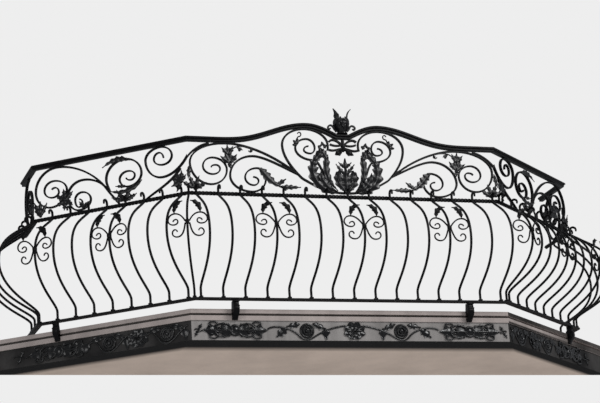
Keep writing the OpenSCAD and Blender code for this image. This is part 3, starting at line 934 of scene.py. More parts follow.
@dataclass(frozen=True)
class SlabRender:
    """Painted render on the slab, soiled by rain, with painted shade on faces that turn to the right and
    along the underside's rim.

    Attributes:
        name: Name of the material.
        pale: Clean colour.
        soiled: Colour of the dirt.
        soil: Share of the dirt.
        cheeks: Colour of the faces that turn towards the sides, or None.
        right_shade_and_soil: Colour of the painted shade, mixed with some soiling, on the faces that turn to
            the right, or None.
        soffit: Colour of the underside, or None.
        rim_shade: Colour of the painted shade along the underside's rim.
        rim: Width in metres of that rim.
    """

    name: str
    pale: Colour
    soiled: Colour
    soil: float
    cheeks: Colour | None = None
    right_shade_and_soil: Colour | None = None
    soffit: Colour | None = None
    rim_shade: Colour = (0.004, 0.0036, 0.0034)
    rim: float = 0.19

    def make(self) -> bpy.types.Material:
        """Build the material.

        Returns:
            The material.
        """
        shader = Shader(self.name)
        broad = shader.noise(scale=2.2, detail=6.0, rough=0.6)
        streak = shader.noise(scale=9.0, detail=4.0, rough=0.6, stretch=Vector((1.0, 1.0, 0.12)))
        sand = shader.noise(scale=260.0, detail=3.0, rough=0.7)
        pits = shader.noise(scale=60.0, detail=2.0, rough=0.5)
        patchy = broad.over(0.3, 0.7) * 0.2 + 0.8
        dirt = (streak.over(0.42, 0.72) * 0.6 + broad.over(0.4, 0.7) * 0.5) * self.soil
        colour = shader.mix(dirt.math("MINIMUM", 1.0), (*self.pale, 1), (*self.soiled, 1))
        colour = shader.mix(sand.over(0.35, 0.75) * 0.25, colour, (*self.soiled, 1))
        if self.cheeks is not None:
            aside = shader.facing("X").math("ABSOLUTE").over(0.3, 0.4)
            colour = shader.mix(aside * patchy, colour, (*self.cheeks, 1))
        if self.right_shade_and_soil is not None:
            # Painted shade, with some soiling, on faces that turn to the right; the belt's upper lip stays
            # pale as a lit edge.
            right = shader.facing("X").over(0.3, 0.4)
            colour = shader.mix(right * patchy * (1.0 - self.lit_belt_lip(shader)), colour, (*self.right_shade_and_soil, 1))
        if self.soffit is not None:
            # The underside's rim is painted dark as shade; further in, the underside takes the soffit colour.
            below = (shader.facing("Z") * -1.0).over(0.4, 0.6)
            inner = self.depth(shader).over(self.rim * 0.75, self.rim * 1.25)
            unshaded = inner * (broad.over(0.35, 0.7) * -0.2 + 1.0)
            colour = shader.mix(below, colour, shader.mix(unshaded, (*self.rim_shade, 1), (*self.soffit, 1)))
        relief = shader.bump(sand, strength=0.25, distance=0.0008)
        relief = shader.bump(pits, strength=0.2, distance=0.002, before=relief)
        return shader.set(Base_Color=colour, Roughness=broad * 0.2 + 0.72, Normal=relief,
                          Specular_IOR_Level=0.12)

    @staticmethod
    def lit_belt_lip(shader: Shader) -> Value:
        """Give the belt's upper lip, up to the corner of the right side, which the painted shade on the right
        spares so that it stays pale like an edge in the light.

        Args:
            shader: Shader that the nodes go to.

        Returns:
            Values from 0 to 1.
        """
        height = shader.along("Z")
        foot = PLAN.fascia_top * METRES
        top = PLAN.nosing_under * METRES
        end = PLAN.side_x * METRES
        above = height.over(foot + 0.008, foot + 0.016)
        return above * height.over(top - 0.001, top - 0.004) * shader.along("X").over(end, end - 0.45)

    @staticmethod
    def depth(shader: Shader) -> Value:
        """Give how far a point of the slab lies behind the nearest of its free edges.

        Args:
            shader: Shader that the nodes go to.

        Returns:
            The distance in metres, less in front and more on the right, where the rim is narrower.
        """
        a = math.radians(PLAN.cant)
        x = shader.along("X")
        y = shader.along("Y")
        front = y + (PLAN.front_y - PLAN.edge_in - PLAN.fascia_in) * METRES
        reach = PLAN.front_w / 2 * math.sin(a) + PLAN.front_y * math.cos(a)
        reach -= PLAN.side_edge_in + PLAN.fascia_in
        side = x.math("ABSOLUTE") * -math.sin(a) + y * math.cos(a) + reach * METRES
        return (front * 0.8).math("MINIMUM", side * (x.over(-0.2, 0.2) * 0.9 + 1.0))


@dataclass(frozen=True)
class Finishes:
    """Materials of the balcony by their slots, built once."""

    materials: dict[Slot, bpy.types.Material]

    @classmethod
    def build(cls) -> Finishes:
        """Build every material.

        Returns:
            The finishes.
        """
        paints = {
            Slot.BAR: IronPaint("satin_black_bars", dark=(0.003, 0.003, 0.0035), rough=0.36, hammer=0.35,
                                dust=0.15, shine=0.07),
            Slot.LEAF: IronPaint("satin_black_leaves", dark=(0.003, 0.003, 0.0036), rough=0.3, hammer=0.4,
                                 dust=0.2, shine=0.25),
            Slot.FRIEZE: IronPaint("cast_frieze_black", dark=(0.002, 0.002, 0.0024), rough=0.22, hammer=0.6,
                                   dust=0.12, shine=0.3),
            Slot.PALE: SlabRender("pale_slab_render", pale=(0.37, 0.32, 0.3), soiled=(0.19, 0.165, 0.155),
                                  soil=0.7, right_shade_and_soil=(0.012, 0.011, 0.01)),
            Slot.GREY: SlabRender("grey_fascia_render", pale=(0.27, 0.255, 0.245),
                                  soiled=(0.13, 0.122, 0.118), soil=0.9, cheeks=(0.003, 0.003, 0.0034),
                                  soffit=(0.68, 0.55, 0.46)),
            # The sunk joint's dark colour is painted shade in the recess under the nosing.
            Slot.SHADOW: SlabRender("shaded_joint_render", pale=(0.09, 0.083, 0.078),
                                    soiled=(0.045, 0.042, 0.04), soil=0.9)}
        return cls({slot: paint.make() for slot, paint in paints.items()})

    def of(self, slot: Slot) -> bpy.types.Material:
        """Give the material of a slot."""
        return self.materials[slot]


# Sub-assemblies


@dataclass
class Ironwork:
    """A sub-assembly of the railing."""

    finishes: Finishes
    plan: Plan = PLAN

    def single(self, node: str, slot: Slot, draw: Callable[[Shape], None], smooth: float = SMOOTH,
               mirrored: bool = False) -> None:
        """Make the piece that stands for one node.

        Args:
            node: Name of the node.
            slot: Material slot.
            draw: Function that adds the piece's meshes to a shape.
            smooth: Angle of smooth shading.
            mirrored: True for the right one of a pair.
        """
        shape = Shape(mirrored)
        draw(shape)
        shape.finish(node, self.finishes.of(slot), smooth)

    def pair(self, stem: str, slot: Slot, draw: Callable[[Shape], None], smooth: float = SMOOTH) -> None:
        """Make the pieces that stand for a left node and its mirror image.

        Args:
            stem: Name of the nodes, with braces for the side.
            slot: Material slot.
            draw: Function that adds the left piece's meshes to a shape.
            smooth: Angle of smooth shading.
        """
        for side in ("left", "right"):
            self.single(stem.format(side), slot, draw, smooth, side == "right")

    def front_corner_cut(self, mesh: Mesh, keep_front: bool, right: bool = False) -> None:
        """Cut a placed mesh at the mitre between the front and a side.

        Args:
            mesh: Mesh to cut.
            keep_front: True to keep the front's end, and False to keep the side's.
            right: True for the mitre on the right.
        """
        a = math.radians(self.plan.cant / 2)
        hand = 1 if right else -1
        normal = Vector((hand * math.cos(a), math.sin(a), 0)) * (1 if keep_front else -1)
        cut(mesh, Vector((hand * self.plan.front_w / 2, -self.plan.front_y, 0)), normal)

    def side_corner_cut(self, mesh: Mesh, keep_side: bool) -> None:
        """Cut a placed mesh at the mitre between the left side and the return.

        Args:
            mesh: Mesh to cut.
            keep_side: True to keep the side's end, and False to keep the return's.
        """
        a = math.radians(self.plan.cant)
        normal = Vector((-math.cos(a), 1 + math.sin(a), 0)).normalized() * (1 if keep_side else -1)
        cut(mesh, Vector((-self.plan.side_x, -self.plan.return_l, 0)), normal)


@dataclass(frozen=True)
class Rail:
    """A kind of rail.

    Attributes:
        profile: Section, with x across the rail and y up.
        z: Height of the section's origin.
        spin: Length of one full turn of a twisted rail, or 0.
    """

    profile: Sequence[Point]
    z: float
    spin: float = 0.0


@dataclass
class Rails(Ironwork):
    """Bottom rail, twisted middle rail and moulded hand rail.

    Attributes:
        overrun: Length past a corner before the mitre is cut.
        twist: Length of one full turn of the middle rail.
        core: Width of the middle rail.
        step: Length of a stretch of the middle rail.
        hump_steps: Number of stretches of the front's hand rail.
        cap: Section of the hand rail.
    """

    overrun: float = 60.0
    twist: float = 96.0
    core: float = 21.0
    step: float = 4.0
    hump_steps: int = 240
    cap: tuple[Point, ...] = (
        (-12, 0), (12, 0), (15, 3), (15, 12), (18.5, 14), (22, 15.5), (25, 19), (25, 24), (23.2, 28),
        (19, 31), (12, 32.6), (4, 33), (-4, 33), (-12, 32.6), (-19, 31), (-23.2, 28), (-25, 24),
        (-25, 19), (-22, 15.5), (-18.5, 14), (-15, 12), (-15, 3))

    def level(self, rail: Rail, start: float, end: float, place: Matrix = UNTURNED) -> Mesh:
        """Make a level rail that runs past its corners.

        Args:
            rail: Its kind.
            start: Its first corner along the railing line.
            end: Its second corner.
            place: Place of the railing line.

        Returns:
            A closed mesh.
        """
        x0 = start - self.overrun
        x1 = end + self.overrun
        steps = math.ceil((x1 - x0) / self.step) if rail.spin else 1
        frames = []
        for index in range(steps + 1):
            x = x0 + (x1 - x0) * index / steps
            turn = Matrix.Rotation(math.tau * (x - x0) / rail.spin, 4, "Z") if rail.spin else UNTURNED
            at = frame_at(Vector((x, 0, rail.z)), Vector((0, -1, 0)), Vector((0, 0, 1)), Vector((1, 0, 0)))
            frames.append(at @ turn)
        return moved(sweep(rail.profile, frames), place)

    def side_rail(self, rail: Rail) -> Mesh:
        """Make a rail of the left side, cut at both mitres.

        Args:
            rail: Its kind.

        Returns:
            A placed mesh.
        """
        mesh = self.level(rail, -self.plan.side_l, 0.0, self.plan.side())
        self.front_corner_cut(mesh, False)
        self.side_corner_cut(mesh, True)
        return mesh

    def return_rail(self, rail: Rail) -> Mesh:
        """Make a rail of the left return, cut at the mitre and at the wall.

        Args:
            rail: Its kind.

        Returns:
            A placed mesh.
        """
        mesh = self.level(rail, -self.plan.return_l, 0.0, self.plan.back())
        self.side_corner_cut(mesh, False)
        cut(mesh, Vector((0, 0, 0)), Vector((0, 1, 0)))
        return mesh

    def front_rail(self, rail: Rail) -> Mesh:
        """Make a level rail of the front, cut at both mitres."""
        half = self.plan.front_w / 2
        return self.between_corners(self.level(rail, -half, half))

    def between_corners(self, mesh: Mesh) -> Mesh:
        """Place a rail of the front and cut it at both mitres.

        Args:
            mesh: The rail.

        Returns:
            The same mesh.
        """
        moved(mesh, self.plan.front())
        self.front_corner_cut(mesh, True)
        self.front_corner_cut(mesh, True, right=True)
        return mesh

    def humped(self) -> Mesh:
        """Make the front's hand rail, which rises to a hump on each side of its seat.

        Returns:
            A placed mesh.
        """
        half = self.plan.front_w / 2 + self.overrun
        places = [-half + 2 * half * index / self.hump_steps for index in range(self.hump_steps + 1)]
        line = [Vector((x, self.plan.hand_under + self.plan.hump(x))) for x in places]
        frames = []
        for index, point in enumerate(line):
            way = heading(line, index)
            frames.append(frame_at(Vector((point.x, 0, point.y)), Vector((0, -1, 0)),
                                   Vector((-way.y, 0, way.x)), Vector((way.x, 0, way.y))))
        return self.between_corners(sweep(self.cap, frames))

    def kinds(self) -> dict[str, Rail]:
        """Give the kinds of rails.

        Returns:
            Rails by their name.
        """
        plan = self.plan
        flat = section(plan.bottom_w, plan.bottom_t, chamfer=2.0)
        square = section(self.core, self.core, chamfer=2.2)
        return {"bottom": Rail(flat, plan.rail_z + plan.bottom_t / 2),
                "middle": Rail(square, plan.mid_under + plan.mid_t / 2, self.twist),
                "hand": Rail(self.cap, plan.hand_under)}

    def build(self) -> None:
        """Make every rail of the front and of the sides."""
        for kind, rail in self.kinds().items():
            front = self.humped() if kind == "hand" else self.front_rail(rail)
            self.single(f"front_{kind}_rail", Slot.BAR, lambda shape, mesh=front: shape.take(mesh))
            self.pair("{}_" + kind + "_rail", Slot.BAR,
                      lambda shape, rail=rail: shape.take(self.side_rail(rail)))


@dataclass
class Bars(Ironwork):
    """Bellied bars, which end in hooks in front of the middle rail.

    Attributes:
        belly_z: Height of the belly over the bottom rail.
        foot: Height of the straight foot.
        hook: Radius of the hook.
        hook_rise: How far the hook's start stands over the middle rail.
        chamfer: Chamfer of a bar's edges.
        shoe: Sizes of the collar on a bar's foot.
    """

    belly_z: float = 370.0
    foot: float = 55.0
    hook: float = 22.0
    hook_rise: float = 6.0
    chamfer: float = 3.4
    shoe: tuple[float, float, float] = (24.0, 24.0, 11.0)

    def line(self, stretch: float) -> Path:
        """Draw a bar's middle line, with x outwards and y up from the bottom rail.

        Args:
            stretch: Factor outwards, for a bar in a corner.

        Returns:
            Points of the line.
        """
        plan = self.plan
        height = plan.mid_under - plan.bar_z
        b = plan.belly * stretch
        near = plan.mid_t / 2 * stretch + plan.bar_t / 2
        far = near + 2 * self.hook
        above = plan.mid_top - plan.bar_z + self.hook_rise
        lower = bend((0, self.foot), (0, self.foot + height * 0.08), (b, self.belly_z - height * 0.31),
                     (b, self.belly_z), steps=18)
        upper = bend((b, self.belly_z), (b, self.belly_z + height * 0.24),
                     (near + b * 0.42, height * 0.88), (near, height), steps=16)
        hook = whirl([(near, above), (near + self.hook, above + self.hook), (far, above)],
                     upright=True, steps=7)
        straight = [Vector((0, 0)), Vector((0, self.foot))]
        return straight + lower + upper + hook + [Vector((far - 3, above - 8))]

    def bar(self, turn: float = 0.0) -> Mesh:
        """Make one bar at the origin of its place.

        Args:
            turn: Angle in degrees between a corner's bar and its neighbours, which sets how far it bellies.

        Returns:
            A closed mesh and its collar.
        """
        line = self.line(1 / math.cos(math.radians(turn)))
        frames = []
        for index, point in enumerate(line):
            way = heading(line, index)
            tail = len(line) - 1 - index
            size = 1.0 if tail > 3 else 0.74 + 0.26 * tail / 4
            frames.append(frame_at(Vector((0, -point.x, self.plan.bar_z + point.y)), Vector((1, 0, 0)),
                                   Vector((0, -way.y, -way.x)), Vector((0, -way.x, way.y)), size, size))
        mesh = sweep(section(self.plan.bar_t, self.plan.bar_t, self.chamfer), frames)
        join(mesh, moved(block(self.shoe, bevel=2.5), shift(0, 0, self.plan.bar_z + self.shoe[2] / 2)))
        return mesh

    def front_places(self) -> list[float]:
        """Give the places of the front's bars."""
        plan = self.plan
        return [-plan.front_w / 2 + plan.corner_gap + i * plan.front_pitch for i in range(plan.front_bars)]

    def side_places(self) -> list[float]:
        """Give the places of a side's bars."""
        plan = self.plan
        return [-plan.side_l + (i + 1) * plan.side_pitch for i in range(plan.side_bars)]

    def row(self, shape: Shape, place: Matrix, places: Iterable[float]) -> None:
        """Add a row of bars.

        Args:
            shape: Shape that takes them.
            place: Place of the railing line.
            places: Where each bar stands on it.
        """
        bar = self.bar()
        for x in places:
            shape.lend(bar, place @ shift(x, 0, 0))
        bar.free()

    def front(self, shape: Shape) -> None:
        """Add the front's bars and the bars in its corners."""
        self.row(shape, self.plan.front(), self.front_places())
        shape.both(self.bar(self.plan.cant / 2), self.plan.front_mitre())

    def side(self, shape: Shape) -> None:
        """Add a side's bars and the bar in its far corner."""
        self.row(shape, self.plan.side(), self.side_places())
        shape.take(self.bar(45 - self.plan.cant / 2), self.plan.side_mitre())

    def build(self) -> None:
        """Make the bars of the front and of the sides."""
        self.single("front_bars_panel", Slot.BAR, self.front)
        self.pair("{}_bars_panel", Slot.BAR, self.side)


@dataclass(frozen=True)
class ScrollLine:
    """Middle line of a scroll bar, from its eye to its tail."""

    points: tuple[Vector, ...]
    eye: float = 9.0
    thick: float = 13.0

    @classmethod
    def of(cls, *parts: Path, eye: float = 9.0, thick: float = 13.0) -> ScrollLine:
        """Join several stretches to a line."""
        return cls(tuple(point for part in parts for point in part), eye, thick)

    def mesh(self, depth: float, spacing: float = 9.0) -> Mesh:
        """Make the scroll bar."""
        return drawn_bar(even(self.points, spacing), self.eye, self.thick, depth, chamfer=2.6, thin=0.8)


@dataclass
class ScrollBand(Ironwork):
    """Scroll bars between the middle rail and the hand rail.

    Attributes:
        depth: Depth of a scroll bar from front to back.
        lobe_top: Height of the heart's lobe over the middle rail.
    """

    depth: float = 20.0
    lobe_top: float = 437.5

    def heart(self) -> ScrollLine:
        """Draw the left half of the heart.

        Returns:
            Its middle line.
        """
        return ScrollLine.of(
            whirl([(-108, 298), (-103, 335), (-252, self.lobe_top), (-412, 322)], upright=False, steps=12),
            bend((-412, 322), (-412, 250), (-365, 178), (-292, 104)),
            bend((-292, 104), (-215, 60), (-130, 10), (0, 12)), eye=12.0)

    def heart_coil(self) -> ScrollLine:
        """Draw the coil inside the heart.

        Returns:
            Its middle line.
        """
        return ScrollLine.of(
            whirl([(-235, 322), (-268, 296), (-226, 273), (-193, 314), (-247, 370), (-325, 304),
                   (-207, 228)], upright=False),
            bend((-207, 228), (-150, 228), (-150, 60), (-60, 16)))

    def tendril(self) -> Mesh:
        """Make the tendril on the coil.

        Returns:
            A closed mesh.
        """
        line = [Vector((-310, 340))]
        line += whirl([(-308, 362), (-292, 386), (-280, 402), (-291, 414), (-302, 404)],
                      upright=True, steps=5)
        return drawn_bar(line, w0=8, w1=6, depth=9, chamfer=1.5)

    def front_lines(self) -> list[ScrollLine]:
        """Draw the scroll bars of the front's left half.

        Returns:
            Their middle lines, the one that the corner cuts last.
        """
        return [
            ScrollLine.of(whirl([(-891, 161), (-858, 176), (-833, 152), (-885, 114), (-945, 164), (-878, 224),
                                 (-789, 150), (-900, 47), (-1029, 185), (-790, 321)], upright=True),
                          bend((-790, 321), (-680, 325), (-520, 272), (-385, 178)), [Vector((-333, 148))]),
            ScrollLine.of(whirl([(-618, 104), (-584, 80), (-618, 49), (-672, 98), (-588, 163), (-535, 95),
                                 (-633, 5), (-770, 104), (-612, 242)], upright=False),
                          bend((-612, 242), (-540, 242), (-435, 185), (-317, 130))),
            ScrollLine.of([Vector((-1075, 172))], bend((-1075, 172), (-1050, 226), (-1005, 276), (-940, 305)),
                          [Vector((-900, 318))], eye=13.0)]

    def side_lines(self) -> list[ScrollLine]:
        """Draw the scroll bars of the left side.

        Returns:
            Their middle lines, the one that the corner cuts last.
        """
        return [
            ScrollLine.of(whirl([(-958, 176), (-934, 186), (-908, 152), (-952, 122), (-1012, 174),
                                 (-946, 232), (-850, 160), (-962, 58), (-1075, 172), (-924, 319)],
                                upright=True),
                          bend((-924, 319), (-804, 319), (-650, 240), (-564, 108)),
                          bend((-564, 108), (-540, 70), (-512, 40), (-476, -10), steps=8)),
            ScrollLine.of(whirl([(-762, 78), (-742, 50), (-769, 26), (-794, 76), (-746, 122), (-682, 66),
                                 (-766, 6), (-845, 106), (-738, 202)], upright=False),
                          bend((-738, 202), (-670, 202), (-614, 172), (-564, 116))),
            ScrollLine.of(whirl([(-427, 160), (-395, 142), (-366, 172), (-416, 204), (-474, 156), (-410, 101),
                                 (-319, 180), (-439, 287), (-568, 172)], upright=True),
                          bend((-568, 172), (-568, 150), (-560, 130), (-546, 92), steps=8)),
            ScrollLine.of([Vector((-300, -8))], bend((-300, -8), (-205, 48), (-120, 70), (-48, 158))),
            ScrollLine.of(whirl([(-162, 246), (-192, 285), (-229, 244), (-166, 201), (-103, 254), (-184, 321),
                                 (-288, 246), (-174, 120)], upright=True),
                          bend((-174, 120), (-110, 120), (-40, 160), (16, 250)))]

    def placed(self, line: ScrollLine, place: Matrix) -> Mesh:
        """Make a scroll bar in its place.

        Args:
            line: Its middle line.
            place: Place of the railing line.

        Returns:
            A placed mesh.
        """
        return moved(line.mesh(self.depth), place @ shift(0, 0, self.plan.mid_top))

    def cut_row(self, shape: Shape, lines: Sequence[ScrollLine], place: Matrix, keep_front: bool) -> None:
        """Add scroll bars, the last of which ends at the mitre.

        Args:
            shape: Shape that takes them.
            lines: Their middle lines.
            place: Place of the railing line.
            keep_front: True for the front's side of the mitre.
        """
        meshes = [self.placed(line, place) for line in lines]
        self.front_corner_cut(meshes[-1], keep_front)
        for mesh in meshes:
            shape.take(mesh)

    def hearts(self, shape: Shape) -> None:
        """Add both halves of the heart.

        Args:
            shape: Shape that takes them.
        """
        for line in (self.heart(), self.heart_coil()):
            shape.both(self.placed(line, self.plan.front()))
        shape.both(self.tendril(), self.plan.front() @ shift(0, 0, self.plan.mid_top))

    def build(self) -> None:
        """Make every scroll bar."""
        plan = self.plan
        self.pair("front_{}_scrolls", Slot.BAR,
                  lambda shape: self.cut_row(shape, self.front_lines(), plan.front(), True))
        self.pair("{}_scrolls", Slot.BAR,
                  lambda shape: self.cut_row(shape, self.side_lines(), plan.side(), False))
        self.single("heart_bar", Slot.BAR, self.hearts)


@dataclass
class Butterflies(Ironwork):
    """Scrolls between two bars, held by a collar on the bar in the middle.

    Attributes:
        tie: Height of the collar's middle over the bottom rail's underside.
        thick: Width of a scroll.
        depth: Its depth from front to back.
        reach: Width of the drawn wing, which is fitted to the gap.
        collar: Width of the collar.
        collar_h: Height of the collar.
        every: Number of bars from one collar to the next.
    """

    tie: float = 419.0
    thick: float = 9.0
    depth: float = 10.0
    reach: float = 141.0
    collar: float = 24.0
    collar_h: float = 26.0
    every: int = 4

    @property
    def turn(self) -> float:
        """Angle between the corner's bar and its neighbours."""
        return math.radians(self.plan.cant / 2)

    @property
    def lean(self) -> float:
        """Distance along the rail from a corner to the middle of the corner bar's belly."""
        return self.plan.belly * math.tan(self.turn)

    def wing(self, span: float, root: float) -> Mesh:
        """Make a wing to the left of the bar in the middle.

        Args:
            span: Distance to the next bar.
            root: Distance of the wing's start from the bar's middle line.

        Returns:
            A mesh about the tie's middle.
        """
        wide = (span - self.plan.bar_t / 2 - self.thick / 2 - 0.2) / self.reach
        near = -root / wide
        upper = [*curved((near, 6), (-30, 34), (-56, 62), (-96, 62), steps=9),
                 *winding([(-96, 62), (-self.reach, 24), (-96, -8), (-69, 8), (-83, 25), (-104, 12)],
                          upright=False, steps=6)]
        lower = [*curved((near, -6), (-22, -30), (-28, -87), (-74, -87), steps=9),
                 *winding([(-74, -87), (-113, -60), (-94, -39), (-77, -54)], upright=False, steps=6)]
        shape = bmesh.new()
        for path in (upper, lower):
            join(shape, drawn_bar(widened(path, wide), self.thick, self.thick * 0.8, self.depth, chamfer=1.8))
        rib = widened(midrib((-92, 62), angle=98, length=112, lobes=3, turn=-62), wide)
        join(shape, Frond(rib, width=42, relief=4.5, curl=5.0).mesh(rows=3))
        return shape

    def plain_wing(self, pitch: float) -> Mesh:
        """Make a wing between two neighbouring bars."""
        return self.wing(pitch, self.plan.bar_t / 2 + 0.4)

    def corner_wing(self) -> Mesh:
        """Make the wing between the corner's bar and its neighbour."""
        root = self.collar / 2 * (math.cos(self.turn) + math.sin(self.turn)) - 1.5
        return self.wing(self.lean + self.plan.corner_gap, root)

    def at_tie(self) -> Matrix:
        """Give the tie's place on a bar."""
        return shift(0, -self.plan.belly, self.plan.rail_z + self.tie)

    def clip(self) -> Mesh:
        """Make a collar."""
        return block((self.collar, self.collar, self.collar_h), bevel=3.0)

    def row(self, shape: Shape, place: Matrix, places: Iterable[float], pitch: float) -> None:
        """Add a row of butterflies.

        Args:
            shape: Shape that takes them.
            place: Place of the railing line.
            places: Where the bars in their middles stand on it.
            pitch: Distance between two bars.
        """
        wing = self.plain_wing(pitch)
        for x in places:
            middle = place @ shift(x, 0, 0) @ self.at_tie()
            shape.lend(wing, middle)
            shape.lend(wing, middle @ MIRROR)
            shape.take(self.clip(), middle)
        wing.free()

    def front(self, shape: Shape) -> None:
        """Add the front's butterflies and its half of those in the corners.

        Args:
            shape: Shape that takes them.
        """
        plan = self.plan
        places = Bars(self.finishes).front_places()[self.every - 1::self.every]
        self.row(shape, plan.front(), places, plan.front_pitch)
        corner = plan.front() @ shift(-plan.front_w / 2 - self.lean, 0, 0) @ self.at_tie()
        shape.both(self.corner_wing(), corner @ MIRROR)
        out = plan.belly * (1 / math.cos(self.turn) - 1)
        shape.both(self.clip(), plan.front_mitre() @ shift(0, -out, 0) @ self.at_tie())

    def side(self, shape: Shape) -> None:
        """Add a side's butterflies and its half of the one in the corner.

        Args:
            shape: Shape that takes them.
        """
        plan = self.plan
        places = Bars(self.finishes).side_places()[:plan.side_bars - self.every + 1:self.every]
        self.row(shape, plan.side(), places, plan.side_pitch)
        shape.take(self.corner_wing(), plan.side() @ shift(self.lean, 0, 0) @ self.at_tie())

    def build(self) -> None:
        """Make the butterflies of the front and of the sides."""
        self.single("front_butterfly_scrolls", Slot.BAR, self.front)
        self.pair("{}_butterfly_scrolls", Slot.BAR, self.side)


@dataclass(frozen=True)
class Spray:
    """Leaves, berries and stems drawn together in one plane.

    Attributes:
        fronds: The leaves.
        berries: Place and radius of each berry.
        stems: Middle lines of the stems.
        step: How far one leaf lies in front of the last, so that leaves that cross don't share a face.
    """

    fronds: tuple[Frond, ...]
    berries: tuple[tuple[float, float, float], ...] = ()
    stems: tuple[ScrollLine, ...] = ()
    step: float = 0.5

    def add(self, shape: Shape, place: Matrix) -> None:
        """Add the spray to a shape.

        Args:
            shape: Shape that takes it.
            place: Place of the drawing's plane.
        """
        for index, frond in enumerate(self.fronds):
            shape.take(frond.mesh(), place @ shift(0, -self.step * (index % 4), 0))
        for x, z, radius in self.berries:
            shape.take(dome(radius, radius * 1.1, steps=16), place @ shift(x, 0, z))
        for stem in self.stems:
            shape.take(drawn_bar(stem.points, stem.eye, stem.thick, depth=7, chamfer=2.0, out=3.0), place)


def fan(at: Point, angles: Sequence[float], length: float, width: float, lobes: int) -> list[Frond]:
    """Draw leaves that grow from one place.

    Args:
        at: Their base.
        angles: Their directions in degrees.
        length: Their length.
        width: Their width.
        lobes: Lobes on each side.

    Returns:
        The leaves.
    """
    return [Frond(midrib(at, angle, length, lobes), width) for angle in angles]


@dataclass
class LeafWork(Ironwork):
    """Leaves on the scroll bars of the front and of the sides."""

    def front_spray(self) -> Spray:
        """Draw the leaves of the front's left half.

        Returns:
            The spray.
        """
        vine = ScrollLine.of(curved((-752, 270), (-740, 304), (-690, 304), (-640, 294), steps=10),
                             winding([(-640, 294), (-618, 276), (-630, 264), (-642, 274)],
                                     upright=False, steps=5),
                             eye=8.0, thick=6.0)
        fronds = (self.crest()
                  + fan((-772, 196), (-84,), length=52, width=34, lobes=2)
                  + fan((-720, 292), (-25,), length=44, width=26, lobes=2)
                  + [Frond(curved((-592, 160), (-544, 150), (-524, 56), (-424, 34), steps=11), width=64,
                           relief=5.5)]
                  + fan((-468, 50), (34,), length=74, width=36, lobes=2)
                  + fan((-456, 38), (0,), length=146, width=38, lobes=4)
                  + fan((-1012, 10), (28, 68, 108, 150), length=92, width=42, lobes=3)
                  + fan((-1034, 168), (-100,), length=96, width=36, lobes=3))
        berries = ((-772, 178, 13), (-702, 275, 9), (-624, 274, 10), (-1006, 12, 12))
        return Spray(tuple(fronds), berries, (vine,))

    def crest(self) -> list[Frond]:
        """Draw the upright leaves of the spray between the two coils."""
        return (fan((-770, 184), (52, 84, 116, 144), length=78, width=44, lobes=2)
                + fan((-776, 240), (62, 96, 134), length=66, width=38, lobes=2))

    def side_spray(self) -> Spray:
        """Draw the leaves of the left side.

        Returns:
            The spray.
        """
        fronds = (fan((-44, 66), (84, 122, 160, 200, 244), length=70, width=40, lobes=2)
                  + fan((-44, 66), (46,), length=52, width=34, lobes=2)
                  + [Frond(curved((-392, 268), (-450, 300), (-520, 296), (-584, 250), steps=11), width=46,
                           relief=5.5),
                     Frond(curved((-310, 124), (-368, 66), (-468, 50), (-548, 92), steps=11), width=38,
                           relief=5.5)]
                  + fan((-422, 102), (172,), length=76, width=28, lobes=3)
                  + fan((-440, 6), (22, 58, 122, 158), length=96, width=40, lobes=4)
                  + fan((-858, 88), (40, 96, 152, 208, 264, 320), length=74, width=42, lobes=3)
                  + fan((-720, 4), (50, 125), length=66, width=36, lobes=3)
                  + fan((-1046, 4), (56, 84, 108), length=104, width=42, lobes=3))
        return Spray(tuple(fronds), ((-44, 66, 13), (-858, 88, 14), (-440, 12, 11), (-1040, 12, 12)))

    def build(self) -> None:
        """Make the leaves."""
        front = self.plan.front(LEAF_OUT) @ shift(0, 0, self.plan.mid_top)
        side = self.plan.side(LEAF_OUT) @ shift(0, 0, self.plan.mid_top)
        self.pair("front_{}_leaves", Slot.LEAF,
                  lambda shape: self.front_spray().add(shape, front), LEAF_SMOOTH)
        self.pair("{}_leaves", Slot.LEAF,
                  lambda shape: self.side_spray().add(shape, side), LEAF_SMOOTH)


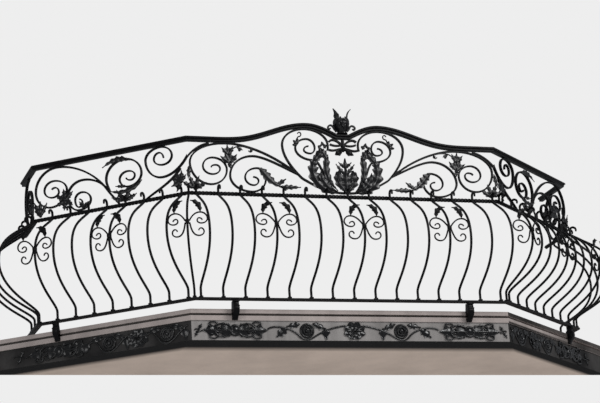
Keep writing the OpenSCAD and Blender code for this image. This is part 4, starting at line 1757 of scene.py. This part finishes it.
@dataclass
class HeartFilling(Ironwork):
    """Palmette, acanthus leaves and bow inside the heart, and the crown above it.

    Attributes:
        knot_z: Height of the bow's knot over the middle rail.
        stem_z: Height of the bow's lower end over the middle rail.
        petals: Number of petals in each row of the crown.
        horn_foot: Height at which the crown's horns start.
        horn_h: Height of the horns' tips.
    """

    knot_z: float = 328.0
    stem_z: float = 292.0
    petals: int = 8
    horn_foot: float = 56.0
    horn_h: float = 166.0

    def base(self, out: float = 0.0) -> Matrix:
        """Give the place of the drawings above the middle rail, moved outwards by out."""
        return self.plan.front(out) @ shift(0, 0, self.plan.mid_top)

    def palmette(self, shape: Shape) -> None:
        """Add the palmette.

        Args:
            shape: Shape that takes it.
        """
        for lift, frond in ((0, Frond(midrib((-4, 128), angle=128, length=96, lobes=3), width=30)),
                            (0, Frond(midrib((-2, 176), angle=136, length=58, lobes=2), width=24)),
                            (2, Frond(midrib((-26, 74), angle=118, length=84, lobes=1), width=62, relief=9,
                                      curl=8, lobed=0.1, blunt=1.3)),
                            (1.5, Frond(midrib((-8, 8), angle=124, length=158, lobes=3, turn=-230),
                                        width=92, relief=9, curl=10, lobed=0.32, blunt=1.2)),
                            (3, Frond(midrib((-10, 30), angle=150, length=92, lobes=2, turn=-90), width=54,
                                      relief=8, curl=8))):
            shape.both(frond.mesh(), self.base(LEAF_OUT + lift))
        shape.take(Frond(midrib((0, 6), angle=90, length=178, lobes=4), width=84, relief=11,
                         curl=8).mesh(rows=6), self.base(LEAF_OUT + 4))
        shape.take(Frond(midrib((0, 130), angle=90, length=112, lobes=2), width=34, relief=7, curl=4,
                         lobed=0.3, blunt=1.4).mesh(rows=4), self.base(LEAF_OUT + 2))
        shape.take(dome(radius=22, height=22, steps=24), self.base(LEAF_OUT) @ shift(0, 0, 22))

    def acanthus(self, shape: Shape) -> None:
        """Add the two tall acanthus leaves and the small leaves on the coils.

        Args:
            shape: Shape that takes them.
        """
        outer = curved((-56, 12), (-150, 8), (-228, 84), (-219, 170), steps=9)
        outer += tuple(bend((-219, 170), (-216, 218), (-190, 244), (-166, 300), steps=7))
        inner = curved((-60, 24), (-104, 62), (-142, 130), (-126, 214), steps=9)
        inner += tuple(bend((-126, 214), (-120, 244), (-128, 262), (-156, 272), steps=5))
        middle = curved((-70, 18), (-124, 34), (-164, 80), (-174, 146), steps=9)
        curl = whirl([(-164, 278), (-174, 316), (-147, 345), (-119, 322), (-130, 307), (-140, 316)],
                     upright=True, steps=8)
        for lift, frond in ((0, Frond(outer, width=86, relief=11, curl=6, lobed=0.4, blunt=0.72)),
                            (1, Frond(inner, width=50, relief=8, curl=4, lobed=0.24, blunt=1.1)),
                            (3, Frond(middle, width=64, relief=9, curl=6, lobed=0.3, blunt=1.1)),
                            (3, Frond(midrib((-212, 214), angle=50, length=112, lobes=2), width=64,
                                      relief=9, curl=6)),
                            (3, Frond(midrib((-118, 228), angle=118, length=88, lobes=2), width=56,
                                      relief=8, curl=5))):
            shape.both(frond.mesh(), self.base(LEAF_OUT + lift))
        shape.both(drawn_bar(curl, w0=14, w1=11, depth=18, chamfer=3.2), self.base(LEAF_OUT + 10))
        for angle in (98, 146, 194):
            rib = midrib((-308, 330), angle, length=40, lobes=1)
            leaf = Frond(rib, width=30, relief=6, curl=4, lobed=0.2, blunt=1.0)
            shape.both(leaf.mesh(), self.base(LEAF_OUT))

    def bow(self, shape: Shape) -> None:
        """Add the bow with its knot.

        Args:
            shape: Shape that takes it.
        """
        seat = self.plan.band_h + self.plan.seat_rise
        stem = block((18, 20, seat - self.stem_z), bevel=3)
        shape.take(stem, self.base() @ shift(0, 0, (seat + self.stem_z) / 2))
        shape.take(block((26, 26, 34), bevel=7), self.base() @ shift(0, 0, self.knot_z))
        loops = (((0, 314), (-34, 312), (-60, 290), (-97, 302), 13),
                 ((0, 326), (-30, 366), (-70, 384), (-92, 358), 14),
                 ((0, 338), (-30, 330), (-60, 326), (-88, 340), 12))
        for p0, p1, p2, p3, width in loops:
            shape.both(drawn_bar(curved(p0, p1, p2, p3, steps=10), width, width, depth=18), self.base())
        shape.both(Frond(midrib((-4, 304), angle=-146, length=70, lobes=2), width=46, relief=8, curl=6,
                         lobed=0.2, blunt=1.1).mesh(rows=4), self.base(6))

    def petal(self, length: float, width: float, curl: float, swell: float = 10.0) -> Mesh:
        """Make a leaf of the crown that stands upright and curls outwards.

        Args:
            length: Its length.
            width: Its width.
            curl: How far its tip leans outwards.
            swell: How far its middle stands outwards.

        Returns:
            A closed mesh, with its foot at the origin.
        """
        hollow = 0.006
        rib = midrib((0, 0), 90, length, lobes=2)
        mesh = Frond(rib, width, relief=8, curl=0, lobed=0.2, blunt=1.1).mesh(rows=4)
        for vert in mesh.verts:
            rise = max(vert.co.z, 0) / length
            vert.co.y += hollow * vert.co.x ** 2 - swell * math.sin(math.pi * rise) - curl * rise ** 4
        return mesh

    def crown(self, shape: Shape) -> None:
        """Add the crown on the hand rail's seat.

        Args:
            shape: Shape that takes it.
        """
        plan = self.plan
        seat = plan.front() @ shift(0, 0, plan.hand_under + plan.hand_t + plan.seat_rise)
        body = turned([(0, 0), (31, 0), (37, 4), (37, 9), (28, 16), (31, 22), (39, 30), (44, 44), (44, 62),
                       (41, 76), (38, 92), (33, 92), (32, 70), (0, 60)], steps=40)
        shape.take(body, seat)
        for start, length, width, curl, out, z in ((0.0, 76, 36, 5, 36, 26), (0.5, 50, 30, 3, 35, 62)):
            for index in range(self.petals):
                turn = spun(360 * (index + start) / self.petals)
                shape.take(self.petal(length, width, curl), seat @ turn @ shift(0, -out, z))
        horn = self.petal(self.horn_h - self.horn_foot, width=48, curl=26, swell=-3.0)
        shape.both(horn, seat @ spun(-62) @ shift(0, -38, self.horn_foot))
        handle = [*curved((-36, 26), (-54, 30), (-54, 62), (-72, 62), steps=9),
                  *winding([(-72, 62), (-92, 46), (-84, 36), (-77, 43)], upright=False, steps=6)]
        shape.both(drawn_bar(handle, w0=13, w1=9, depth=15, chamfer=2.4), seat)
        knob = turned([(0, 60), (15, 60), (20, 72), (15, 92), (8, 104), (10, 112), (0, 122)], steps=24)
        shape.take(knob, seat)

    def build(self) -> None:
        """Make the palmette, the acanthus leaves, the bow and the crown."""
        self.single("palmette", Slot.LEAF, self.palmette, LEAF_SMOOTH)
        self.single("heart_acanthus", Slot.LEAF, self.acanthus, LEAF_SMOOTH)
        self.single("bow_tie", Slot.BAR, self.bow)
        self.single("crown_finial", Slot.LEAF, self.crown, CAST_SMOOTH)


@dataclass
class Returns(Ironwork):
    """Short returns to the wall: rails, three bellied bars and one upright scroll."""

    bars: int = 3

    def draw(self, shape: Shape) -> None:
        """Add a return.

        Args:
            shape: Shape that takes it.
        """
        plan = self.plan
        rails = Rails(self.finishes)
        for rail in rails.kinds().values():
            shape.take(rails.return_rail(rail))
        pitch = (plan.return_l - 2 * plan.corner_gap) / (self.bars - 0.5)
        Bars(self.finishes).row(shape, plan.back(), [-plan.corner_gap - i * pitch for i in range(self.bars)])
        line = ScrollLine.of(whirl([(-192, 158), (-166, 182), (-138, 150), (-186, 104), (-244, 164),
                                    (-168, 236), (-92, 140), (-196, 5), (-304, 176), (-180, 320)],
                                   upright=True))
        shape.take(ScrollBand(self.finishes).placed(line, plan.back()))
        leaves = (fan((-50, 3), (64, 88, 112), length=132, width=46, lobes=4)
                  + fan((-62, 196), (-84,), length=92, width=40, lobes=3))
        for frond in leaves:
            shape.take(frond.mesh(), plan.back(LEAF_OUT) @ shift(0, 0, plan.mid_top))

    def build(self) -> None:
        """Make both returns."""
        self.pair("{}_return", Slot.BAR, self.draw)


@dataclass
class Brackets(Ironwork):
    """Brackets that carry the bottom rail on the slab's edge."""

    width: float = 36.0

    def bracket(self, back: float) -> Mesh:
        """Make a bracket.

        Args:
            back: Distance from the railing line back to the slab's edge.

        Returns:
            A closed mesh at the origin of its place, and its two bands.
        """
        plan = self.plan
        half = plan.bottom_w / 2
        foot = plan.fascia_top
        knee = (half + 4, plan.slab_top - plan.nosing_h / 2)
        line = [(-back, foot), (-back, plan.slab_top), (-back + 10, plan.rail_z), (half - 4, plan.rail_z)]
        line += bend(line[-1], (half - 14, plan.rail_z - plan.foot_gap * 0.6),
                     (half + 8, plan.slab_top + 6), knee, steps=10)
        line += bend(knee, (half, plan.slab_top - plan.nosing_h * 1.6), (-4, foot + plan.belt_h),
                     (-back + 12, foot), steps=10)
        mesh = moved(plate([tuple(point) for point in line], self.width, bevel=3.0), spun(-90))
        for z in (plan.rail_z - 7, plan.slab_top + 8):
            join(mesh, moved(block((self.width + 5, 26, 8), bevel=2.4), shift(0, -half + 10, z)))
        return mesh

    def build(self) -> None:
        """Make the front's and the sides' brackets."""
        plan = self.plan
        front = plan.front() @ shift(-plan.bracket_x, 0, 0)
        side = plan.side() @ shift(-plan.side_bracket_x, 0, 0)
        self.single("front_brackets", Slot.BAR,
                    lambda shape: shape.both(self.bracket(plan.edge_in), front))
        self.single("side_brackets", Slot.BAR,
                    lambda shape: shape.both(self.bracket(plan.side_edge_in), side))


@dataclass
class Frieze(Ironwork):
    """Iron frieze on the fascia: cartouches, rosettes, flowers and vines.

    Attributes:
        thick: How far the castings stand out.
        rosette_r: Radius of a rosette.
        flower_r: Radius of a flower, before it is widened.
        flower_spread: Factors that widen it.
        petals: Number of petals in each of its rows.
        cartouche_l: Length of a cartouche.
        cartouche_rise: Height over which a cartouche's scrolls are drawn.
        gap: Gap between a vine and its neighbours.
        margin: Distance of the frieze's ends from the fascia's corners.
        sprig_l: Distance of a side's last sprig from its cartouche.
    """

    thick: float = 10.0
    rosette_r: float = 48.0
    flower_r: float = 54.0
    flower_spread: tuple[float, float, float] = (1.28, 1.0, 1.04)
    petals: int = 8
    cartouche_l: float = 416.0
    cartouche_rise: float = 90.0
    gap: float = 5.0
    margin: float = 18.0
    sprig_l: float = 120.0

    def front_place(self, x: float = 0.0) -> Matrix:
        """Give the place of the front's frieze, x along it."""
        plan = self.plan
        return plan.front(-plan.edge_in - plan.fascia_in) @ shift(x, 0, plan.frieze_z)

    def side_place(self, x: float = 0.0) -> Matrix:
        """Give the place of the left side's frieze, x along it."""
        plan = self.plan
        return plan.side(-plan.side_edge_in - plan.fascia_in) @ shift(x, 0, plan.frieze_z)

    def fascia_corner(self) -> Vector:
        """Give the fascia's corner from the railing line's corner.

        Returns:
            Distances along the front and back from it.
        """
        plan = self.plan
        a = math.radians(plan.cant)
        deep, near = plan.edge_in + plan.fascia_in, plan.side_edge_in + plan.fascia_in
        return Vector(((deep * math.cos(a) - near) / math.sin(a), deep))

    def places(self) -> dict[str, float]:
        """Give the distances of the frieze's pieces along the front and along the side.

        Returns:
            Distances by name.
        """
        plan = self.plan
        corner = self.fascia_corner()
        a = math.radians(plan.cant)
        near = plan.side_bracket_x - self.cartouche_l / 2
        side_end = corner.x * math.cos(a) + corner.y * math.sin(a) + self.margin
        flower = (near + side_end) / 2
        return {"front_end": plan.front_w / 2 + corner.x - self.margin,
                "rosette": (self.flower_r + plan.bracket_x - self.cartouche_l / 2) / 2,
                "near": near, "side_end": side_end, "flower": flower,
                "first": (side_end + flower - self.flower_r) / 2,
                "second": (near + flower + self.flower_r) / 2}

    def rosette(self) -> Mesh:
        """Make a round plaque of two rings about a boss.

        Returns:
            A closed mesh.
        """
        r = self.rosette_r
        top = self.thick
        return facing([(0, 0), (r, 0), (r, 5), (r - 3, top - 1), (r - 6, top), (r - 10, top - 1), (r - 13, 4),
                       (r - 17, 4), (r - 20, top + 1), (r - 25, top + 1), (r - 28, 5), (r * 0.3, 5),
                       (r * 0.27, top + 4), (r * 0.18, top + 7), (0, top + 8)], steps=40)

    def flower(self) -> Mesh:
        """Make an open flower with two rows of petals.

        Returns:
            A mesh in the frieze's plane.
        """
        r = self.flower_r
        mesh = dome(r * 0.28, self.thick + 8, steps=24)
        for index in range(self.petals):
            angle = 360 * (index + 0.5) / self.petals
            rib = midrib((0, 0), angle, r * 1.06, lobes=1)
            join(mesh, Frond(rib, r * 0.78, relief=8, curl=4, lobed=0.1, blunt=1.9).mesh(rows=4))
        for index in range(self.petals):
            angle = 360 * index / self.petals
            rib = midrib((0, 0), angle, r * 0.7, lobes=1)
            petal = Frond(rib, width=26, relief=6, curl=3, lobed=0.1, blunt=1.8).mesh(rows=3)
            join(mesh, moved(petal, shift(0, -4.5, 0)))
        bmesh.ops.scale(mesh, verts=mesh.verts, vec=self.flower_spread)
        return mesh

    def cartouche(self) -> Mesh:
        """Make a cartouche of two leafy halves with scrolls on them and a boss in the middle.

        Returns:
            A mesh in the frieze's plane.
        """
        half = self.cartouche_l / 2
        tall = self.cartouche_rise
        mesh = dome(28, self.thick + 8, steps=32)
        join(mesh, facing([(20, 0), (38, 0), (38, 8), (34, 13), (29, 14), (24, 11), (20, 6), (20, 0)],
                          steps=32))
        for flip in (1, -1):
            for start, width in ((0, 112), (0.42 * half, 92)):
                rib = widened(midrib((start, 0), 0, 0.58 * half, lobes=2), flip)
                join(mesh, Frond(rib, width, relief=6, curl=2).mesh(rows=5))
            ridge = [Vector((flip * 24, 0)), Vector((flip * half * 0.9, 0))]
            join(mesh, drawn_bar(ridge, w0=9, w1=6, depth=8, chamfer=2.0, out=9.5))
            for rise in (1, -1):
                hook = whirl([(0.52, 0.3), (0.66, 0.58), (0.8, 0.5), (0.78, 0.26), (0.7, 0.34)],
                             upright=True, steps=5)
                scroll = whirl([(0.52, 0.1), (0.46, 0.2), (0.38, 0.1), (0.48, -0.16), (0.62, 0.06),
                                (0.4, 0.46), (0.1, 0.1)], upright=True, steps=5)
                for path, start, end in ((hook, 10, 6), (scroll, 7, 10)):
                    line = widened(path, flip * half, rise * tall)
                    join(mesh, drawn_bar(line, start, end, depth=9, chamfer=2.4, out=8.5))
        return mesh

    def vine(self, x0: float, x1: float) -> Mesh:
        """Make a vine that dips under a rosette.

        Args:
            x0: Its start.
            x1: Its end.

        Returns:
            A mesh in the frieze's plane.
        """
        c = (x0 + x1) / 2
        r = self.rosette_r
        low = -r - 8
        left, right = c - r, c + r
        path = curved((x0 + self.gap, 10), (x0 + 46, 40), (c - r * 1.9, 20), (left, low + 16), steps=10)
        path += tuple(bend((left, low + 16), (c - r * 0.6, low), (c - 20, low), (c, low), steps=7))
        path += tuple(bend((c, low), (right, low), (c + r * 1.6, 10), (x1 - self.gap, 34), steps=12))
        mesh = drawn_bar(path, w0=11, w1=11, depth=9, chamfer=2.8, out=4.5)
        leaves = (((left + 4, 42), 190, 92, 42, 2), ((left - 84, 18), 220, 92, 62, 2),
                  ((right - 10, 46), -22, 96, 42, 2), ((right + 72, 20), -86, 78, 60, 1))
        for at, angle, length, width, lobes in leaves:
            rib = midrib(at, angle, length, lobes)
            join(mesh, Frond(rib, width, relief=7, curl=3, lobed=0.34, blunt=0.7).mesh(rows=4))
        return mesh

    def sprig(self, x0: float, x1: float) -> Mesh:
        """Make a short sprig that fills an end of the frieze.

        Args:
            x0: Its start.
            x1: Its end.

        Returns:
            A mesh in the frieze's plane.
        """
        path = curved((x0, 0), (x0 * 0.6 + x1 * 0.4, 30), (x0 * 0.4 + x1 * 0.6, -30), (x1, 0), steps=10)
        mesh = drawn_bar(path, w0=7, w1=7, depth=8, out=4.0)
        for angle in (60, 240):
            rib = midrib(((x0 + x1) / 2, 0), angle, length=46, lobes=2)
            join(mesh, Frond(rib, width=26, relief=5, curl=3).mesh(rows=4))
        return mesh

    def front_medallions(self, shape: Shape) -> None:
        """Add the medallions of the front.

        Args:
            shape: Shape that takes them.
        """
        shape.both(self.rosette(), self.front_place(-self.places()["rosette"]))
        shape.both(self.cartouche(), self.front_place(-self.plan.bracket_x))
        shape.take(self.flower(), self.front_place())

    def side_medallions(self, shape: Shape) -> None:
        """Add the medallions of a side.

        Args:
            shape: Shape that takes them.
        """
        at = self.places()
        for x, mesh in ((at["first"], self.rosette()), (at["second"], self.rosette()),
                        (at["flower"], self.flower()), (self.plan.side_bracket_x, self.cartouche())):
            shape.take(mesh, self.side_place(-x))

    def front_vines(self, shape: Shape) -> None:
        """Add the vines of the front.

        Args:
            shape: Shape that takes them.
        """
        edge = self.plan.bracket_x - self.cartouche_l / 2
        end = self.places()["front_end"]
        shape.both(self.vine(-edge, -self.flower_r), self.front_place())
        shape.both(self.sprig(-end, -edge - self.cartouche_l - self.gap), self.front_place())

    def side_vines(self, shape: Shape) -> None:
        """Add the vines of a side.

        Args:
            shape: Shape that takes them.
        """
        at = self.places()
        far = self.plan.side_bracket_x + self.cartouche_l / 2
        for mesh in (self.vine(-at["near"], -at["flower"] - self.flower_r),
                     self.vine(-at["flower"] + self.flower_r, -at["side_end"]),
                     self.sprig(-far - self.sprig_l, -far - self.gap)):
            shape.take(mesh, self.side_place())

    def build(self) -> None:
        """Make the frieze."""
        self.single("front_frieze_medallions", Slot.FRIEZE, self.front_medallions, CAST_SMOOTH)
        self.pair("{}_frieze_medallions", Slot.FRIEZE, self.side_medallions, CAST_SMOOTH)
        self.single("front_frieze_vines", Slot.FRIEZE, self.front_vines, CAST_SMOOTH)
        self.pair("{}_frieze_vines", Slot.FRIEZE, self.side_vines, CAST_SMOOTH)


@dataclass
class Masonry:
    """Courses of the slab, which keep their own meshes."""

    finishes: Finishes
    courses: dict[str, Slot] = field(default_factory=lambda: {
        "floor_slab": Slot.PALE, "belt_course": Slot.PALE,
        "sunk_joint": Slot.SHADOW, "fascia_course": Slot.GREY})

    def build(self, nodes: dict[str, bpy.types.Object]) -> None:
        """Dress the courses.

        Args:
            nodes: Objects of the frame by name.
        """
        for name, slot in self.courses.items():
            materials = nodes[name].data.materials
            materials.clear()
            materials.append(self.finishes.of(slot))
            LOG.info("%s: dressed", name)


# Studio


@dataclass(frozen=True)
class Studio:
    """Camera, floor and soft light, at the photograph's angle.

    Attributes:
        yaw: Angle of the view to the right of the wall's normal, in degrees.
        pitch: Angle of the view upwards.
        roll: Turn of the camera about its view.
        eye: Place of the camera in metres.
        lens: Its focal length.
        floor_z: Height of the floor in metres.
        floor_size: Half the width of the floor.
        aim: Point of the railing that the lamps look at.
    """

    yaw: float = 19.208
    pitch: float = 16.547
    roll: float = -4.083
    eye: tuple[float, float, float] = (-4.511, -13.080, -2.993)
    lens: float = 125.85
    floor_z: float = -3.35
    floor_size: float = 30.0
    aim: tuple[float, float, float] = (0.0, -0.9, 0.6)

    def camera(self) -> None:
        """Place the camera."""
        yaw, pitch, roll = (math.radians(a) for a in (self.yaw, self.pitch, self.roll))
        ahead = Vector((math.sin(yaw) * math.cos(pitch), math.cos(yaw) * math.cos(pitch), math.sin(pitch)))
        level = Vector((math.cos(yaw), -math.sin(yaw), 0))
        rise = level.cross(ahead)
        right = level * math.cos(roll) + rise * math.sin(roll)
        up = rise * math.cos(roll) - level * math.sin(roll)
        data = bpy.data.cameras.new("camera")
        data.lens = self.lens
        data.clip_end = 100
        camera = bpy.data.objects.new("camera", data)
        camera.matrix_world = Matrix.Translation(self.eye) @ Matrix((right, up, -ahead)).transposed().to_4x4()
        bpy.context.scene.collection.objects.link(camera)
        bpy.context.scene.camera = camera

    def floor(self) -> None:
        """Make the pale floor, which looks paler than the light that it gives back to the balcony."""
        mesh = bmesh.new()
        bmesh.ops.create_grid(mesh, x_segments=1, y_segments=1, size=self.floor_size)
        bmesh.ops.translate(mesh, verts=mesh.verts, vec=(0, 0, self.floor_z))
        data = bpy.data.meshes.new("floor")
        mesh.to_mesh(data)
        mesh.free()
        shader = Shader("pale_floor")
        seen = shader.add("ShaderNodeLightPath", {}, {}, "Is Camera Ray")
        colour = shader.mix(seen, (0.8, 0.8, 0.8, 1), (0.4, 0.4, 0.4, 1))
        glow = shader.mix(seen, (0, 0, 0, 1), (0.55, 0.55, 0.55, 1))
        data.materials.append(shader.set(Base_Color=colour, Roughness=0.9, Emission_Color=glow,
                                         Emission_Strength=1.0))
        floor = bpy.data.objects.new("floor", data)
        bpy.context.scene.collection.objects.link(floor)

    def lamp(self, name: str, at: tuple[float, float, float], size: float, power: float) -> None:
        """Hang a soft lamp that looks at the middle of the railing.

        Args:
            name: Its name.
            at: Its place.
            size: Its width.
            power: Its power in watts.
        """
        data = bpy.data.lights.new(name, "AREA")
        data.size = size
        data.energy = power
        lamp = bpy.data.objects.new(name, data)
        view = (Vector(self.aim) - Vector(at)).to_track_quat("-Z", "Y").to_matrix().to_4x4()
        lamp.matrix_world = Matrix.Translation(at) @ view
        bpy.context.scene.collection.objects.link(lamp)

    def world(self) -> None:
        """Light the scene softly and show a pale background."""
        world = bpy.data.worlds.new("world")
        bpy.context.scene.world = world
        world.use_nodes = True
        tree = world.node_tree
        soft = tree.nodes["Background"]
        soft.inputs["Color"].default_value = (0.86, 0.89, 0.94, 1)
        soft.inputs["Strength"].default_value = 0.42
        seen = tree.nodes.new("ShaderNodeBackground")
        seen.inputs["Color"].default_value = (0.9, 0.9, 0.9, 1)
        seen.inputs["Strength"].default_value = 0.95
        rays = tree.nodes.new("ShaderNodeLightPath")
        mix = tree.nodes.new("ShaderNodeMixShader")
        tree.links.new(rays.outputs["Is Camera Ray"], mix.inputs[0])
        tree.links.new(soft.outputs[0], mix.inputs[1])
        tree.links.new(seen.outputs[0], mix.inputs[2])
        tree.links.new(mix.outputs[0], tree.nodes["World Output"].inputs["Surface"])

    def build(self) -> None:
        """Set up the studio."""
        bpy.context.scene.view_settings.view_transform = "Standard"
        self.camera()
        self.floor()
        self.lamp("key_light", at=(5.0, -9.0, 6.0), size=4.0, power=820.0)
        self.lamp("fill_light", at=(-8.0, -7.0, 0.5), size=4.0, power=260.0)
        self.world()


def main() -> None:
    """Dress the frame and set up the studio."""
    logging.basicConfig(level=logging.INFO, format="%(name)s %(message)s")
    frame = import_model()
    finishes = Finishes.build()
    Studio().build()
    Masonry(finishes).build(frame["nodes"])
    Rails(finishes).build()
    Bars(finishes).build()
    ScrollBand(finishes).build()
    Butterflies(finishes).build()
    LeafWork(finishes).build()
    HeartFilling(finishes).build()
    Returns(finishes).build()
    Brackets(finishes).build()
    Frieze(finishes).build()


if __name__ == "__main__":
    main()
